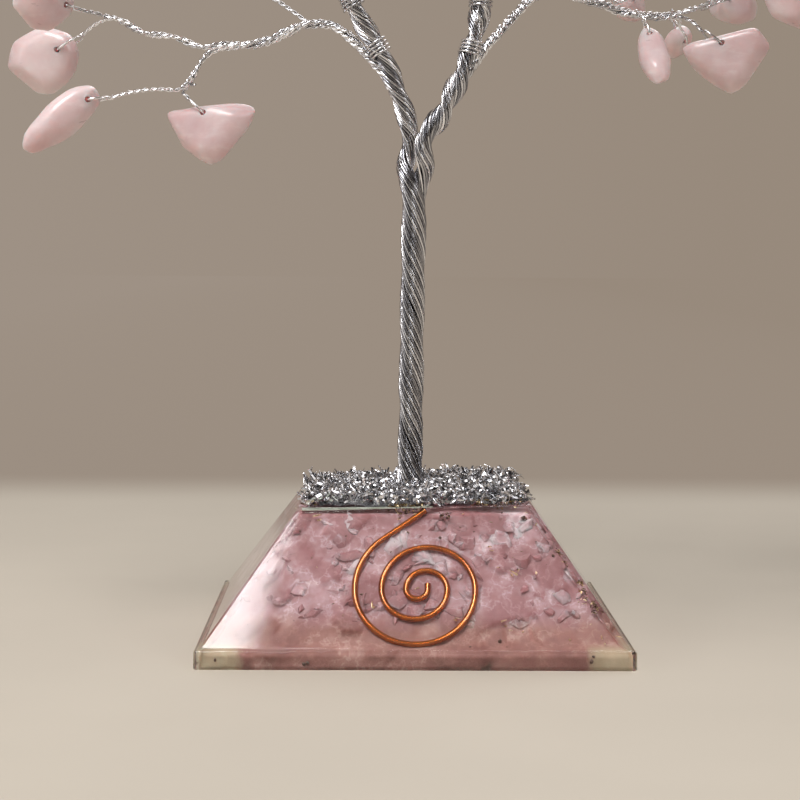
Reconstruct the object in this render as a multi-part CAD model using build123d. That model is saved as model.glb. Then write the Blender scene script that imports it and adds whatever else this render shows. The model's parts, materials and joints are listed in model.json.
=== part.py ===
from build123d import *
import math
import os

# Gemstone tree ornament: a wire tree with drilled quartz stones on a cast resin base.
# Millimetres, +Z up. The origin is the middle of the base's underside, and the front faces -Y.

# Resin base
BASE_SIDE = 65.0
PLINTH_HEIGHT = 2.9
PLINTH_LEDGE = 0.75
PYRAMID_HEIGHT = 19.3
TOP_SIDE = 36.0

# Copper spiral, cast just under the front face: half turns that grow outwards, then a tail
COPPER_WIRE_DIAMETER = 0.95
COPPER_COVER = 0.25
SPIRAL_RADIUS = 9.0
SPIRAL_HALF_TURN_SHARES = (0.18, 0.342, 0.545, 0.778, 1.0)
SPIRAL_HEIGHT_SHARE = 0.43
SPIRAL_END_SHARE = 0.10
SPIRAL_TAIL_ARC_SHARE = 1.17
SPIRAL_TAIL_RUN_SHARE = 0.90
SPIRAL_TAIL_TURN = 53.0

# Rose quartz chips in the resin, in layers of a grid, each chip turned its own way
FILL_CHIP_LENGTH = 8.0
FILL_CHIP_THICKNESS = 5.2
FILL_CHIP_GAP = 0.6
FILL_MARGIN = 2.0
FILL_OUTLINE_SHARES = ((0.49, 0.05), (0.28, 0.40), (-0.20, 0.44), (-0.49, 0.02), (-0.26, -0.40), (0.30, -0.36))
FILL_FLAT_SHARE = 0.6

# Brass flakes in the resin, between the chips and the sloping faces
FLAKE_DIAMETER = 1.5
FLAKE_THICKNESS = 0.2
FLAKE_COVER = 0.5
FLAKES_PER_FACE = 9
FLAKE_SIDES = 5
FLAKE_REACH_SHARE = 0.86
FLAKE_RISE_SHARE = 0.85

# Metal shavings on the flat top: a glued bed, with curls that stand on it
BED_HEIGHT = 1.5
BED_SLOPE = 20.0
BED_OUTLINE_SHARES = ((-0.94, -0.84), (0.16, -0.96), (0.97, -0.97), (0.97, 0.96), (-0.96, 0.96))
CURL_DIAMETER = 2.6
CURL_WIDTH = 0.8
CURL_THICKNESS = 0.18
CURL_SWEEP = 215.0
CURL_GAP = 1.7
CURL_FIELD_SHARE = 0.80

# Trunk: two wire bundles twisted round each other, left-handed, on a round foot
TRUNK_BUNDLE_DIAMETER = 2.3
TRUNK_BUNDLE_OFFSET = 0.85
TRUNK_PITCH = 22.0
TRUNK_FOOT_FLARE = 0.3
FORK_HEIGHT = 77.0
FORK_KNOT_DIAMETER = 5.6
FORK_KNOT_LENGTH = 6.0
FORK_KNOT_CHAMFER = 1.2

# Root wires: the trunk's wire ends, spread flat over the resin under the shavings
ROOT_WIRE_DIAMETER = 0.9
ROOT_WIRE_LENGTH = 11.0
ROOT_WIRE_LIFT = 0.15
ROOT_WIRE_COUNT = 8

# Limbs: points from the fork to the tip, as shares of the limbs' spread, spread and rise
LIMB_DIAMETER = 3.0
LIMB_SPREAD = 15.0
LIMB_RISE = 37.0
LIMB_POINT_SHARES = {
    "left": ((0.0, 0.0, 0.0), (-0.11, 0.10, 0.19), (-0.33, 0.12, 0.41), (-0.66, 0.14, 0.61), (-0.96, 0.16, 1.0)),
    "right": ((0.0, 0.0, 0.0), (0.27, -0.10, 0.14), (0.56, -0.08, 0.39), (0.69, 0.0, 0.58), (0.72, 0.06, 1.0)),
}

# Branch wires. Each branch starts with a ball that sits in a shallow seat of its limb.
STEM_DIAMETER = 1.5
SPRAY_DIAMETER = 1.05
TWIG_DIAMETER = 0.84
STEM_BALL_DIAMETER = 2.0
STEM_BALL_DEPTH = 0.25
STEM_BALL_GAP = 0.1
TWIST_KNOT_DIAMETER = 2.4
TWIST_KNOT_LENGTH = 2.6
TWIST_KNOT_CHAMFER = 0.5
WIRE_BOW_SHARE = 0.07
WIRE_BEND_SHARE = 0.45

# Drilled stones, each on a wire eye
STONE_LENGTH = 14.0
STONE_THICKNESS = 4.4
STONE_FLAT_SHARE = 0.7
STONE_HOLE_DIAMETER = 1.0
EYE_WIRE_DIAMETER = 0.4
EYE_LENGTH = 4.0
EYE_SHOULDER = 0.7
EYE_CORNER = 0.45
EYE_GAP = 0.25
EYE_CROTCH_DIAMETER = 1.2
EYE_CROTCH_LENGTH = 1.1
EYE_CROTCH_CHAMFER = 0.2
EYE_LEG_SHARE = 0.55

# Stone outlines about the hole, as shares of the stone's length. The first axis leads away from the wire.
STONE_OUTLINE_SHARES = {
    "wedge": ((-0.03, -0.47), (-0.10, -0.40), (-0.13, 0.49), (-0.06, 0.58), (0.16, 0.51), (0.56, 0.18),
              (0.58, 0.04), (0.36, -0.23), (0.10, -0.47)),
    "long": ((-0.17, -0.10), (-0.17, 0.10), (0.05, 0.22), (0.45, 0.24), (0.84, 0.13), (0.92, 0.0),
             (0.80, -0.13), (0.40, -0.22), (0.05, -0.20)),
    "broad": ((-0.17, -0.12), (-0.17, 0.12), (0.10, 0.39), (0.44, 0.41), (0.70, 0.22), (0.75, -0.11),
              (0.51, -0.36), (0.12, -0.35)),
    "leaf": ((-0.16, -0.11), (-0.16, 0.11), (0.15, 0.30), (0.50, 0.27), (0.76, 0.06), (0.69, -0.12),
             (0.35, -0.27), (0.08, -0.24)),
    "kite": ((-0.17, -0.09), (-0.17, 0.12), (0.20, 0.35), (0.60, 0.25), (0.82, -0.05), (0.55, -0.29),
             (0.10, -0.27)),
}

# Crown: half its width, half its depth, and its height above the fork
CROWN_HALF_WIDTH = 70.0
CROWN_HALF_DEPTH = 50.0
CROWN_HEIGHT = 80.0

# The two lower branches. Places are shares of the crown's half width, half depth and height.
# Stems: from, a place on the way, to. Stones: knot, hole, outline, turn in degrees, share of the full size.
LOWER_BRANCH_SHARES = {
    "lower_left": {
        "limb": "left",
        "root": 0.47,
        "bearing": 180.0,
        "knots": {
            "inner": (-0.244, 0.060, 0.256),
            "middle": (-0.463, 0.100, 0.209),
            "outer": (-0.713, 0.180, 0.269),
            "low": (-0.537, 0.080, 0.120),
        },
        "stems": (
            ("root", (-0.178, 0.050, 0.250), "inner"),
            ("inner", (-0.354, 0.080, 0.213), "middle"),
            ("middle", (-0.575, 0.130, 0.228), "outer"),
            ("middle", (-0.492, 0.085, 0.165), "low"),
        ),
        "stones": (
            ("low", (-0.473, 0.040, 0.069), "wedge", -47.0, 1.0),
            ("low", (-0.745, -0.040, 0.094), "long", 30.0, 1.0),
            ("outer", (-0.822, 0.240, 0.212), "broad", -6.0, 1.0),
            ("outer", (-0.809, 0.060, 0.290), "broad", 4.0, 0.85),
            ("inner", (-0.445, 0.160, 0.355), "long", 28.0, 1.0),
        ),
    },
    "lower_right": {
        "limb": "right",
        "root": 0.50,
        "bearing": 0.0,
        "knots": {
            "inner": (0.427, 0.180, 0.308),
            "middle": (0.530, 0.240, 0.291),
            "outer": (0.628, 0.280, 0.292),
        },
        "stems": (
            ("root", (0.290, 0.100, 0.335), "inner"),
            ("inner", (0.480, 0.205, 0.292), "middle"),
            ("middle", (0.580, 0.262, 0.285), "outer"),
        ),
        "stones": (
            ("inner", (0.510, 0.460, 0.330), "kite", 0.0, 0.85),
            ("middle", (0.547, 0.150, 0.231), "long", -6.0, 0.8),
            ("outer", (0.650, 0.470, 0.262), "leaf", -20.0, 0.7),
            ("outer", (0.724, 0.240, 0.227), "wedge", -44.0, 1.0),
            ("outer", (0.746, 0.440, 0.330), "leaf", -18.0, 0.9),
            ("outer", (0.829, 0.060, 0.335), "broad", -40.0, 0.9),
        ),
    },
}

# Upper branches: name, limb, place of the root as a share of the limb's length, bearing of the spray
UPPER_BRANCH_SHARES = (
    ("rear_left", "left", 0.68, 112.5),
    ("front_left", "left", 0.78, 247.5),
    ("side_left_front", "left", 0.88, 202.5),
    ("side_left_rear", "left", 1.0, 157.5),
    ("rear_right", "right", 0.70, 67.5),
    ("front_right", "right", 0.79, 292.5),
    ("side_right_front", "right", 0.89, 337.5),
    ("side_right_rear", "right", 1.0, 22.5),
)

# Upper crown: a dome of stones about a middle that stands above the fork
DOME_HALF_WIDTH = 58.0
DOME_HALF_DEPTH = 47.0
DOME_HEIGHT = 52.0
DOME_LIFT = 29.0
DOME_KNOT_SHARE = 0.58
DOME_KNOT_ELEVATION = 34.0

# The stones of a spray: bearing from the branch's own, and elevation on the dome, in degrees
FULL_SPRAY = ((-13.0, 17.0), (10.0, 21.0), (4.0, 39.0), (-4.0, 62.0))
SLIM_SPRAY = ((2.0, 19.0), (-6.0, 39.0), (0.0, 57.0))
SPRAY_OUTLINES = ("broad", "leaf", "long", "kite", "wedge")
SPRAY_TURNS = (-16.0, 12.0, -6.0, 20.0, 4.0)
SPRAY_SIZE_SHARES = (1.0, 0.88, 1.06, 0.82, 0.95)

# Angles and shares that spread places evenly
GOLDEN_ANGLE = 137.5
GOLDEN_SHARE = 0.618

# Sizes that follow from the ones above
TOP_HEIGHT = PLINTH_HEIGHT + PYRAMID_HEIGHT
PYRAMID_SIDE = BASE_SIDE - 2 * PLINTH_LEDGE
SLOPE_RUN = (PYRAMID_SIDE - TOP_SIDE) / 2
SLOPE_LENGTH = math.hypot(SLOPE_RUN, PYRAMID_HEIGHT)
TRUNK_RADIUS = TRUNK_BUNDLE_OFFSET + TRUNK_BUNDLE_DIAMETER / 2
FOOT_RADIUS = TRUNK_RADIUS + TRUNK_FOOT_FLARE
FORK = Vector(0, 0, FORK_HEIGHT)
UP = Vector(0, 0, 1)
FRONT = Vector(0, -1, 0)


def turned(vector, axis, degrees):
    """A vector turned about an axis."""
    return vector.rotate(Axis((0, 0, 0), axis), degrees)


def square_to(axis, vector):
    """The direction of the part of a vector that is square to an axis."""
    return (vector - axis * vector.dot(axis)).normalized()


def bearing_vector(bearing):
    """A level direction, its bearing counted from +X towards +Y."""
    return Vector(math.cos(math.radians(bearing)), math.sin(math.radians(bearing)), 0)


def wire_path(points):
    """Straight runs joined by tangent arcs that are as large as the runs allow."""
    runs = [after - before for before, after in zip(points, points[1:])]
    if len(runs) == 1:
        return Line(points[0], points[1])
    radii = []
    for before, after in zip(runs, runs[1:]):
        half_turn = math.radians(before.get_angle(after)) / 2
        radii.append(WIRE_BEND_SHARE * min(before.length, after.length) / math.tan(half_turn))
    return FilletPolyline(*points, radius=radii)


def tube(path, diameter):
    """A round wire along a path."""
    start = Plane(origin=path @ 0, z_dir=path % 0)
    return sweep(start * Circle(diameter / 2), path=path)


def ball(middle, diameter, pole):
    """A ball whose poles lie along a given direction."""
    return Plane(origin=middle, z_dir=pole) * Sphere(diameter / 2)


def seat(middle, diameter, outward):
    """A ball that cuts a seat: its seam and poles lie away from the cut."""
    return Plane(origin=middle, x_dir=outward, z_dir=square_to(outward, UP)) * Sphere(diameter / 2)


def barrel(middle, along, diameter, length, chamfer_length):
    """A short thick wrap of wire about a direction."""
    wrap = Cylinder(diameter / 2, length)
    return Plane(origin=middle, z_dir=along) * chamfer(wrap.edges().filter_by(GeomType.CIRCLE), chamfer_length)


def twist_knot(knot):
    middle, along = knot
    return barrel(middle, along, TWIST_KNOT_DIAMETER, TWIST_KNOT_LENGTH, TWIST_KNOT_CHAMFER)


def faceted_chip(plane, outline, thickness, flat_share):
    """A chip with flat faces: widest at the plane, drawn in towards a flat on each side."""
    flat = [(x * flat_share, y * flat_share) for x, y in outline]
    lower = plane.offset(-thickness / 2) * Polygon(*flat, align=None)
    widest = plane * Polygon(*outline, align=None)
    upper = plane.offset(thickness / 2) * Polygon(*flat, align=None)
    return loft([lower, widest, upper], ruled=True)


def face_plane(quarter_turns):
    """The plane of a sloping face: origin at the middle of its lower edge, X along that edge, Y up the slope."""
    front = Plane(
        origin=(0, -PYRAMID_SIDE / 2, PLINTH_HEIGHT),
        x_dir=(1, 0, 0),
        z_dir=(0, -PYRAMID_HEIGHT, SLOPE_RUN),
    )
    return Plane(Rot(0, 0, 90 * quarter_turns) * front.location)


def copper_spiral():
    radii = [share * SPIRAL_RADIUS for share in SPIRAL_HALF_TURN_SHARES]
    side_steps = [2 * radius * (-1) ** number for number, radius in enumerate(radii[:-1])]
    start = Vector(SPIRAL_RADIUS + sum(side_steps), SPIRAL_HEIGHT_SHARE * SLOPE_LENGTH)
    edges = [Line(start + Vector(0, SPIRAL_END_SHARE * SPIRAL_RADIUS), start)]
    turns = [(radius, 180) for radius in radii]
    turns.append((SPIRAL_TAIL_ARC_SHARE * SPIRAL_RADIUS, SPIRAL_TAIL_TURN))
    for radius, turn in turns:
        edges.append(JernArc(start=edges[-1] @ 1, tangent=edges[-1] % 1, radius=radius, arc_size=-turn))
    tail_start = edges[-1] @ 1
    edges.append(Line(tail_start, tail_start + (edges[-1] % 1) * SPIRAL_TAIL_RUN_SHARE * SPIRAL_RADIUS))
    plane = face_plane(0).offset(-COPPER_COVER - COPPER_WIRE_DIAMETER / 2)
    return tube(plane * Wire(edges), COPPER_WIRE_DIAMETER)


def fill_chips():
    """Layers of quartz chips that keep a margin of clear resin under every face."""
    outline = [(x * FILL_CHIP_LENGTH, y * FILL_CHIP_LENGTH) for x, y in FILL_OUTLINE_SHARES]
    spacing = FILL_CHIP_LENGTH + FILL_CHIP_GAP
    room = TOP_HEIGHT - 2 * FILL_MARGIN - FILL_CHIP_LENGTH
    chips = []
    for layer in range(int(room / spacing) + 1):
        height = FILL_MARGIN + FILL_CHIP_LENGTH / 2 + layer * spacing
        half_width = PYRAMID_SIDE / 2 - (height - PLINTH_HEIGHT) * SLOPE_RUN / PYRAMID_HEIGHT
        reach = half_width - (FILL_CHIP_LENGTH / 2 + FILL_MARGIN) * SLOPE_LENGTH / PYRAMID_HEIGHT
        count = int(2 * reach / spacing) + 1
        places = [(number - (count - 1) / 2) * spacing for number in range(count)]
        for x in places:
            for y in places:
                angle = GOLDEN_ANGLE * len(chips)
                plane = Plane(Pos(x, y, height) * Rot(angle, 2 * angle, 3 * angle))
                chips.append(faceted_chip(plane, outline, FILL_CHIP_THICKNESS, FILL_FLAT_SHARE))
    return chips


def brass_flakes():
    """Flakes under all four sloping faces, left and right of the strip that the spiral takes."""
    nearest = SPIRAL_RADIUS + COPPER_WIRE_DIAMETER + FLAKE_DIAMETER
    flakes = []
    for quarter_turns in range(4):
        plane = face_plane(quarter_turns).offset(-FLAKE_COVER - FLAKE_THICKNESS)
        for number in range(FLAKES_PER_FACE):
            rise = FLAKE_DIAMETER + FLAKE_RISE_SHARE * SLOPE_LENGTH * (number * GOLDEN_SHARE % 1)
            half_width = PYRAMID_SIDE / 2 - rise * SLOPE_RUN / SLOPE_LENGTH
            farthest = FLAKE_REACH_SHARE * half_width - FLAKE_DIAMETER
            side = nearest + (farthest - nearest) * (number * number * GOLDEN_SHARE % 1)
            place = Pos(side * (-1) ** number, rise) * Rot(0, 0, GOLDEN_ANGLE * number)
            flake = plane * (place * RegularPolygon(FLAKE_DIAMETER / 2, FLAKE_SIDES))
            flakes.append(extrude(flake, FLAKE_THICKNESS))
    return flakes


def resin_pyramid(cast_in):
    """The clear casting, with a space for each piece that is cast in it."""
    plinth = Box(BASE_SIDE, BASE_SIDE, PLINTH_HEIGHT, align=(Align.CENTER, Align.CENTER, Align.MIN))
    lower = Pos(0, 0, PLINTH_HEIGHT) * Rectangle(PYRAMID_SIDE, PYRAMID_SIDE)
    upper = Pos(0, 0, TOP_HEIGHT) * Rectangle(TOP_SIDE, TOP_SIDE)
    return plinth + loft([lower, upper]) - cast_in


def trunk_foot():
    return Pos(0, 0, TOP_HEIGHT) * Cylinder(FOOT_RADIUS, BED_HEIGHT, align=(Align.CENTER, Align.CENTER, Align.MIN))


def root_wires():
    height = TOP_HEIGHT + ROOT_WIRE_LIFT + ROOT_WIRE_DIAMETER / 2
    wires = []
    for number in range(ROOT_WIRE_COUNT):
        outward = bearing_vector(360 * number / ROOT_WIRE_COUNT)
        start = outward * (FOOT_RADIUS - ROOT_WIRE_DIAMETER) + UP * height
        end = outward * ROOT_WIRE_LENGTH + UP * height
        wires.append(tube(Line(start, end), ROOT_WIRE_DIAMETER) - trunk_foot())
    return wires


def shavings_bed(set_in):
    """The glued layer, with spaces for the trunk's foot and the root wires."""
    outline = [(x * TOP_SIDE / 2, y * TOP_SIDE / 2) for x, y in BED_OUTLINE_SHARES]
    slab = Pos(0, 0, TOP_HEIGHT) * Polygon(*outline, align=None)
    return extrude(slab, BED_HEIGHT, taper=BED_SLOPE) - set_in


def shaving_curls():
    """Curled strips that stand on the bed in rows, clear of the trunk."""
    spacing = CURL_DIAMETER + CURL_GAP
    count = int(CURL_FIELD_SHARE * TOP_SIDE / spacing) + 1
    places = [(number - (count - 1) / 2) * spacing for number in range(count)]
    curls = []
    for x in places:
        for y in places:
            if math.hypot(x, y) < FOOT_RADIUS + CURL_DIAMETER:
                continue
            arc = CenterArc((0, 0), CURL_DIAMETER / 2, GOLDEN_ANGLE * len(curls), CURL_SWEEP)
            strip = Pos(x, y, TOP_HEIGHT + BED_HEIGHT) * trace(arc, CURL_THICKNESS)
            curls.append(extrude(strip, CURL_WIDTH))
    return curls


def trunk():
    """The twisted bundles, from the foot to the underside of the fork's knot."""
    lower = TOP_HEIGHT + BED_HEIGHT
    length = FORK_HEIGHT - FORK_KNOT_LENGTH / 2 - lower
    bundle = Circle(TRUNK_BUNDLE_DIAMETER / 2)
    section = Pos(TRUNK_BUNDLE_OFFSET, 0) * bundle + Pos(-TRUNK_BUNDLE_OFFSET, 0) * bundle
    twisted = Solid.extrude_linear_with_rotation(
        (Pos(0, 0, lower) * section).face(), (0, 0, lower), (0, 0, length), -360 * length / TRUNK_PITCH
    )
    return trunk_foot() + twisted


def fork_knot():
    return barrel(FORK, UP, FORK_KNOT_DIAMETER, FORK_KNOT_LENGTH, FORK_KNOT_CHAMFER)


def limb_path(side):
    points = []
    for x_share, y_share, z_share in LIMB_POINT_SHARES[side]:
        points.append(FORK + Vector(x_share * LIMB_SPREAD, y_share * LIMB_SPREAD, z_share * LIMB_RISE))
    return wire_path(points)


def limb(side, branches):
    """A limb from the knot to its tip, with a seat for the ball of each of its branches."""
    seats = []
    for plan in branches:
        if plan["limb"] == side:
            seats.append(seat(plan["root"], STEM_BALL_DIAMETER + 2 * STEM_BALL_GAP, plan["outward"]))
    return tube(limb_path(side), LIMB_DIAMETER) - fork_knot() - seats


def branch_root(side, root_share, bearing):
    """The middle of a branch's ball, beside the limb or on its end, and the way out of its seat."""
    path = limb_path(side)
    along = path % root_share
    seated = STEM_BALL_DIAMETER / 2 - STEM_BALL_DEPTH
    if root_share == 1:
        return path @ 1 + along * seated, along
    outward = square_to(along, bearing_vector(bearing))
    return path @ root_share + outward * (LIMB_DIAMETER / 2 + seated), outward


def crown_place(shares):
    x_share, y_share, z_share = shares
    return FORK + Vector(x_share * CROWN_HALF_WIDTH, y_share * CROWN_HALF_DEPTH, z_share * CROWN_HEIGHT)


def dome_place(bearing, elevation, reach_share):
    level = bearing_vector(bearing) * math.cos(math.radians(elevation)) * reach_share
    rise = math.sin(math.radians(elevation)) * reach_share
    return FORK + Vector(level.X * DOME_HALF_WIDTH, level.Y * DOME_HALF_DEPTH, DOME_LIFT + rise * DOME_HEIGHT)


def bowed(start, end):
    """The middle of a wire that bows upwards a little between two places."""
    lift = square_to((end - start).normalized(), UP)
    return (start + end) / 2 + lift * (end - start).length * WIRE_BOW_SHARE


def stone_plan(knot, hole, facing, outline, turn, size_share):
    """Where a stone's twig, eye and body lie. The twig bows from the knot to the crotch of the eye."""
    along = (hole - knot[0]).normalized()
    crotch = hole - along * EYE_LENGTH
    hole_axis = square_to(along, facing)
    return {
        "knot": knot,
        "middle": bowed(knot[0], crotch),
        "crotch": crotch,
        "along": along,
        "hole": hole,
        "hole_axis": hole_axis,
        "body_axis": turned(along, hole_axis, turn),
        "outline": outline,
        "size_share": size_share,
    }


def lower_branch_plan(name):
    table = LOWER_BRANCH_SHARES[name]
    root, outward = branch_root(table["limb"], table["root"], table["bearing"])
    knots = {"root": (root, outward)}
    runs = []
    for start, way, end in table["stems"]:
        end_place = crown_place(table["knots"][end])
        knots[end] = (end_place, (end_place - crown_place(way)).normalized())
        runs.append((knots[start], crown_place(way), knots[end]))
    stones = []
    for knot, hole, outline, turn, size_share in table["stones"]:
        stones.append(stone_plan(knots[knot], crown_place(hole), FRONT, outline, turn, size_share))
    return {
        "name": name,
        "limb": table["limb"],
        "bearing": table["bearing"],
        "root": root,
        "outward": outward,
        "stems": runs,
        "stones": stones,
    }


def upper_branch_plan(number):
    name, side, root_share, bearing = UPPER_BRANCH_SHARES[number]
    root, outward = branch_root(side, root_share, bearing)
    end = dome_place(bearing, DOME_KNOT_ELEVATION, DOME_KNOT_SHARE)
    way = (root + end) / 2 - square_to((end - root).normalized(), UP) * (end - root).length * WIRE_BOW_SHARE
    knot = (end, (end - way).normalized())
    stones = []
    for place, (side_step, elevation) in enumerate((FULL_SPRAY, SLIM_SPRAY)[number % 2]):
        step = place + number * len(FULL_SPRAY)
        hole = dome_place(bearing + side_step, elevation, 1)
        facing = turned(UP, (hole - end).normalized(), GOLDEN_ANGLE * step)
        kind = step % len(SPRAY_OUTLINES)
        stones.append(
            stone_plan(knot, hole, facing, SPRAY_OUTLINES[kind], SPRAY_TURNS[kind], SPRAY_SIZE_SHARES[kind])
        )
    return {
        "name": name,
        "limb": side,
        "bearing": bearing,
        "root": root,
        "outward": outward,
        "stems": [((root, outward), way, knot)],
        "stones": stones,
    }


def branch_plans():
    plans = [lower_branch_plan(name) for name in LOWER_BRANCH_SHARES]
    plans.extend(upper_branch_plan(number) for number in range(len(UPPER_BRANCH_SHARES)))
    return plans


def stems(plan):
    """A branch's main wires. Each ends in a twist knot, which the next wires start from."""
    wires = []
    for number, (start, way, end) in enumerate(plan["stems"]):
        path = wire_path([start[0], way, end[0]])
        if number == 0:
            wire = tube(path, STEM_DIAMETER) + ball(start[0], STEM_BALL_DIAMETER, path % 0)
        else:
            wire = tube(path, SPRAY_DIAMETER) - twist_knot(start)
        wires.append(wire + twist_knot(end))
    return wires


def twig(stone):
    """A twig from its knot, with the eye that holds the stone: both legs of the eye start in the crotch."""
    half_eye = STONE_THICKNESS * stone["size_share"] / 2 + EYE_GAP + EYE_WIRE_DIAMETER / 2
    side = stone["hole_axis"] * half_eye
    leg_step = stone["hole_axis"] * EYE_WIRE_DIAMETER * EYE_LEG_SHARE
    shoulder = stone["crotch"] + stone["along"] * EYE_SHOULDER
    first_leg = [stone["crotch"] + leg_step, shoulder + side, stone["hole"] + side]
    second_leg = [stone["hole"] - side, shoulder - side, stone["crotch"] - leg_step]
    eye = tube(FilletPolyline(*first_leg, *second_leg, radius=EYE_CORNER), EYE_WIRE_DIAMETER)
    wire = tube(wire_path([stone["knot"][0], stone["middle"], stone["crotch"]]), TWIG_DIAMETER)
    crotch = barrel(stone["crotch"], stone["along"], EYE_CROTCH_DIAMETER, EYE_CROTCH_LENGTH, EYE_CROTCH_CHAMFER)
    return wire - twist_knot(stone["knot"]) + crotch + eye


def drilled_stone(stone):
    length = STONE_LENGTH * stone["size_share"]
    thickness = STONE_THICKNESS * stone["size_share"]
    outline = [(x * length, y * length) for x, y in STONE_OUTLINE_SHARES[stone["outline"]]]
    plane = Plane(origin=stone["hole"], x_dir=stone["body_axis"], z_dir=stone["hole_axis"])
    chip = faceted_chip(plane, outline, thickness, STONE_FLAT_SHARE)
    return chip - plane * Cylinder(STONE_HOLE_DIAMETER / 2, 2 * thickness)


def write(node, shapes):
    solids = [solid for shape in shapes for solid in shape.solids()]
    export_step(Compound(children=solids), f"parts/{node}.step")


def main():
    os.makedirs("parts", exist_ok=True)
    plans = branch_plans()

    chips = fill_chips()
    flakes = brass_flakes()
    spiral = copper_spiral()
    roots = root_wires()
    write("rose_quartz_fill", chips)
    write("brass_flakes", flakes)
    write("copper_spiral", [spiral])
    write("resin_pyramid", [resin_pyramid(chips + flakes + [spiral])])
    write("root_wires", roots)
    write("shavings_bed", [shavings_bed(roots + [trunk_foot()])])
    write("shaving_curls", shaving_curls())

    right_limb = limb("right", plans)
    write("trunk", [trunk()])
    write("fork_knot", [fork_knot()])
    write("right_limb", [right_limb])
    write("left_limb", [limb("left", plans) - right_limb])

    for plan in plans:
        write(f"{plan['name']}_branch", stems(plan) + [twig(stone) for stone in plan["stones"]])
        for number, stone in enumerate(plan["stones"], start=1):
            write(f"{plan['name']}_stone_{number}", [drilled_stone(stone)])


if __name__ == "__main__":
    main()
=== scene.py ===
import json
import math
import random

import bmesh
import bpy
import numpy as np
from mathutils import Matrix, Quaternion, Vector, noise


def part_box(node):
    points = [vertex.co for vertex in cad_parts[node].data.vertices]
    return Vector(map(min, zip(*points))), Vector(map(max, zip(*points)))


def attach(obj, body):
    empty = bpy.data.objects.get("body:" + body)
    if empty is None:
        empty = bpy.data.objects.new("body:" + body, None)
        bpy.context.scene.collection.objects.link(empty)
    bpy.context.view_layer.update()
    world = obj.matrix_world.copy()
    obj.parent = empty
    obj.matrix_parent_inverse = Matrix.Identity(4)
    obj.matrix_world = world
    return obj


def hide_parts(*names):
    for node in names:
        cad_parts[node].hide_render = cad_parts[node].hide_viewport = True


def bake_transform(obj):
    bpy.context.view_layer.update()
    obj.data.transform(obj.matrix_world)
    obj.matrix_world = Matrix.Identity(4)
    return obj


# Looks of the gemstone tree ornament: wire strands, tumbled stones, a clear resin base full of quartz.
# Metres, +Z up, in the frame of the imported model. The front faces -Y.

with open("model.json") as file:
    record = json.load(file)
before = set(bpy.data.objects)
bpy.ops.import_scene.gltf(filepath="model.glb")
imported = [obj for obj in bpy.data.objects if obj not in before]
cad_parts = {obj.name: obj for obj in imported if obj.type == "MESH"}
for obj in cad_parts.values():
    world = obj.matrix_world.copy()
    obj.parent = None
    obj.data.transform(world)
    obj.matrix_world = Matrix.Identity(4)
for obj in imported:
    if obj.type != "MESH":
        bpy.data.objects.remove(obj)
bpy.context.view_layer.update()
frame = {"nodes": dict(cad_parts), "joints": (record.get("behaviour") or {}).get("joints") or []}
MM = 0.001
UP = np.array((0.0, 0.0, 1.0))
ROOT = "base_and_trunk"
SEED = 7

# Blender's noise vectors start from the clock unless they are seeded
noise.seed_set(SEED)

# Camera, as the photograph was taken
IMAGE_SIDE = 800
SENSOR_WIDTH = 36.0
FOCAL_PIXELS = 2090.4
CAMERA_PLACE = np.array((-6.42, -334.5, 61.85)) * MM
CAMERA_YAW = 0.013
CAMERA_PITCH = -0.073
CAMERA_ROLL = 0.006

# Resin base
BASE_SIDE = 65.0 * MM
PLINTH_HEIGHT = 2.9 * MM
PLINTH_LEDGE = 0.75 * MM
TOP_HEIGHT = 22.2 * MM
TOP_SIDE = 36.0 * MM
TOP_LEAN = 0.030
PYRAMID_SIDE = BASE_SIDE - 2 * PLINTH_LEDGE
RESIN_EDGE = 0.35 * MM
FACE_RISE = TOP_HEIGHT - PLINTH_HEIGHT
FACE_RUN = (PYRAMID_SIDE - TOP_SIDE) / 2

# Quartz cast in the resin: a mass of crushed quartz under the faces, with splinters in it,
# browner towards the bottom as painted shade, and cloudy in the plinth's corners
FILL_COVER = 1.0 * MM
FILL_COVER_LEFT = 1.3 * MM
FILL_FLOOR = 0.12 * MM
FILL_PLINTH_COVER = 0.35 * MM
CLOUDY_CORNERS = (25.0 * MM, 26.6 * MM)
CLOUDY_HEIGHTS = (2.7 * MM, 3.5 * MM)
CORNER_UNEVENNESS = 2.2 * MM
FILL_TOP_COVER = 0.8 * MM
FILL_STEP = 0.55 * MM
FILL_CELL = 3.4 * MM
FILL_RELIEF = 0.9 * MM
FILL_TILT = 0.5 * MM
# Painted shade: below these heights the quartz turns browner, along an uneven edge
BOTTOM_SHADE_UNEVENNESS = 5.0 * MM
BOTTOM_SHADE_HEIGHTS = (2.6 * MM, 5.2 * MM)
CHIP_COUNT = 560
CHIP_RADII = (0.7 * MM, 2.6 * MM)
CHIP_THICKNESS = 0.4 * MM
CHIP_BEVELS = (0.25, 0.65)
CHIP_TILT = math.radians(13.0)
CHIP_COVER = 0.8 * MM
CHIP_LOWEST = 4.2 * MM
SCATTER_FLOOR = 1.2 * MM
CORNER_CLEAR = 4.0 * MM
CHIP_EDGE_COVER = 0.4 * MM

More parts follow.
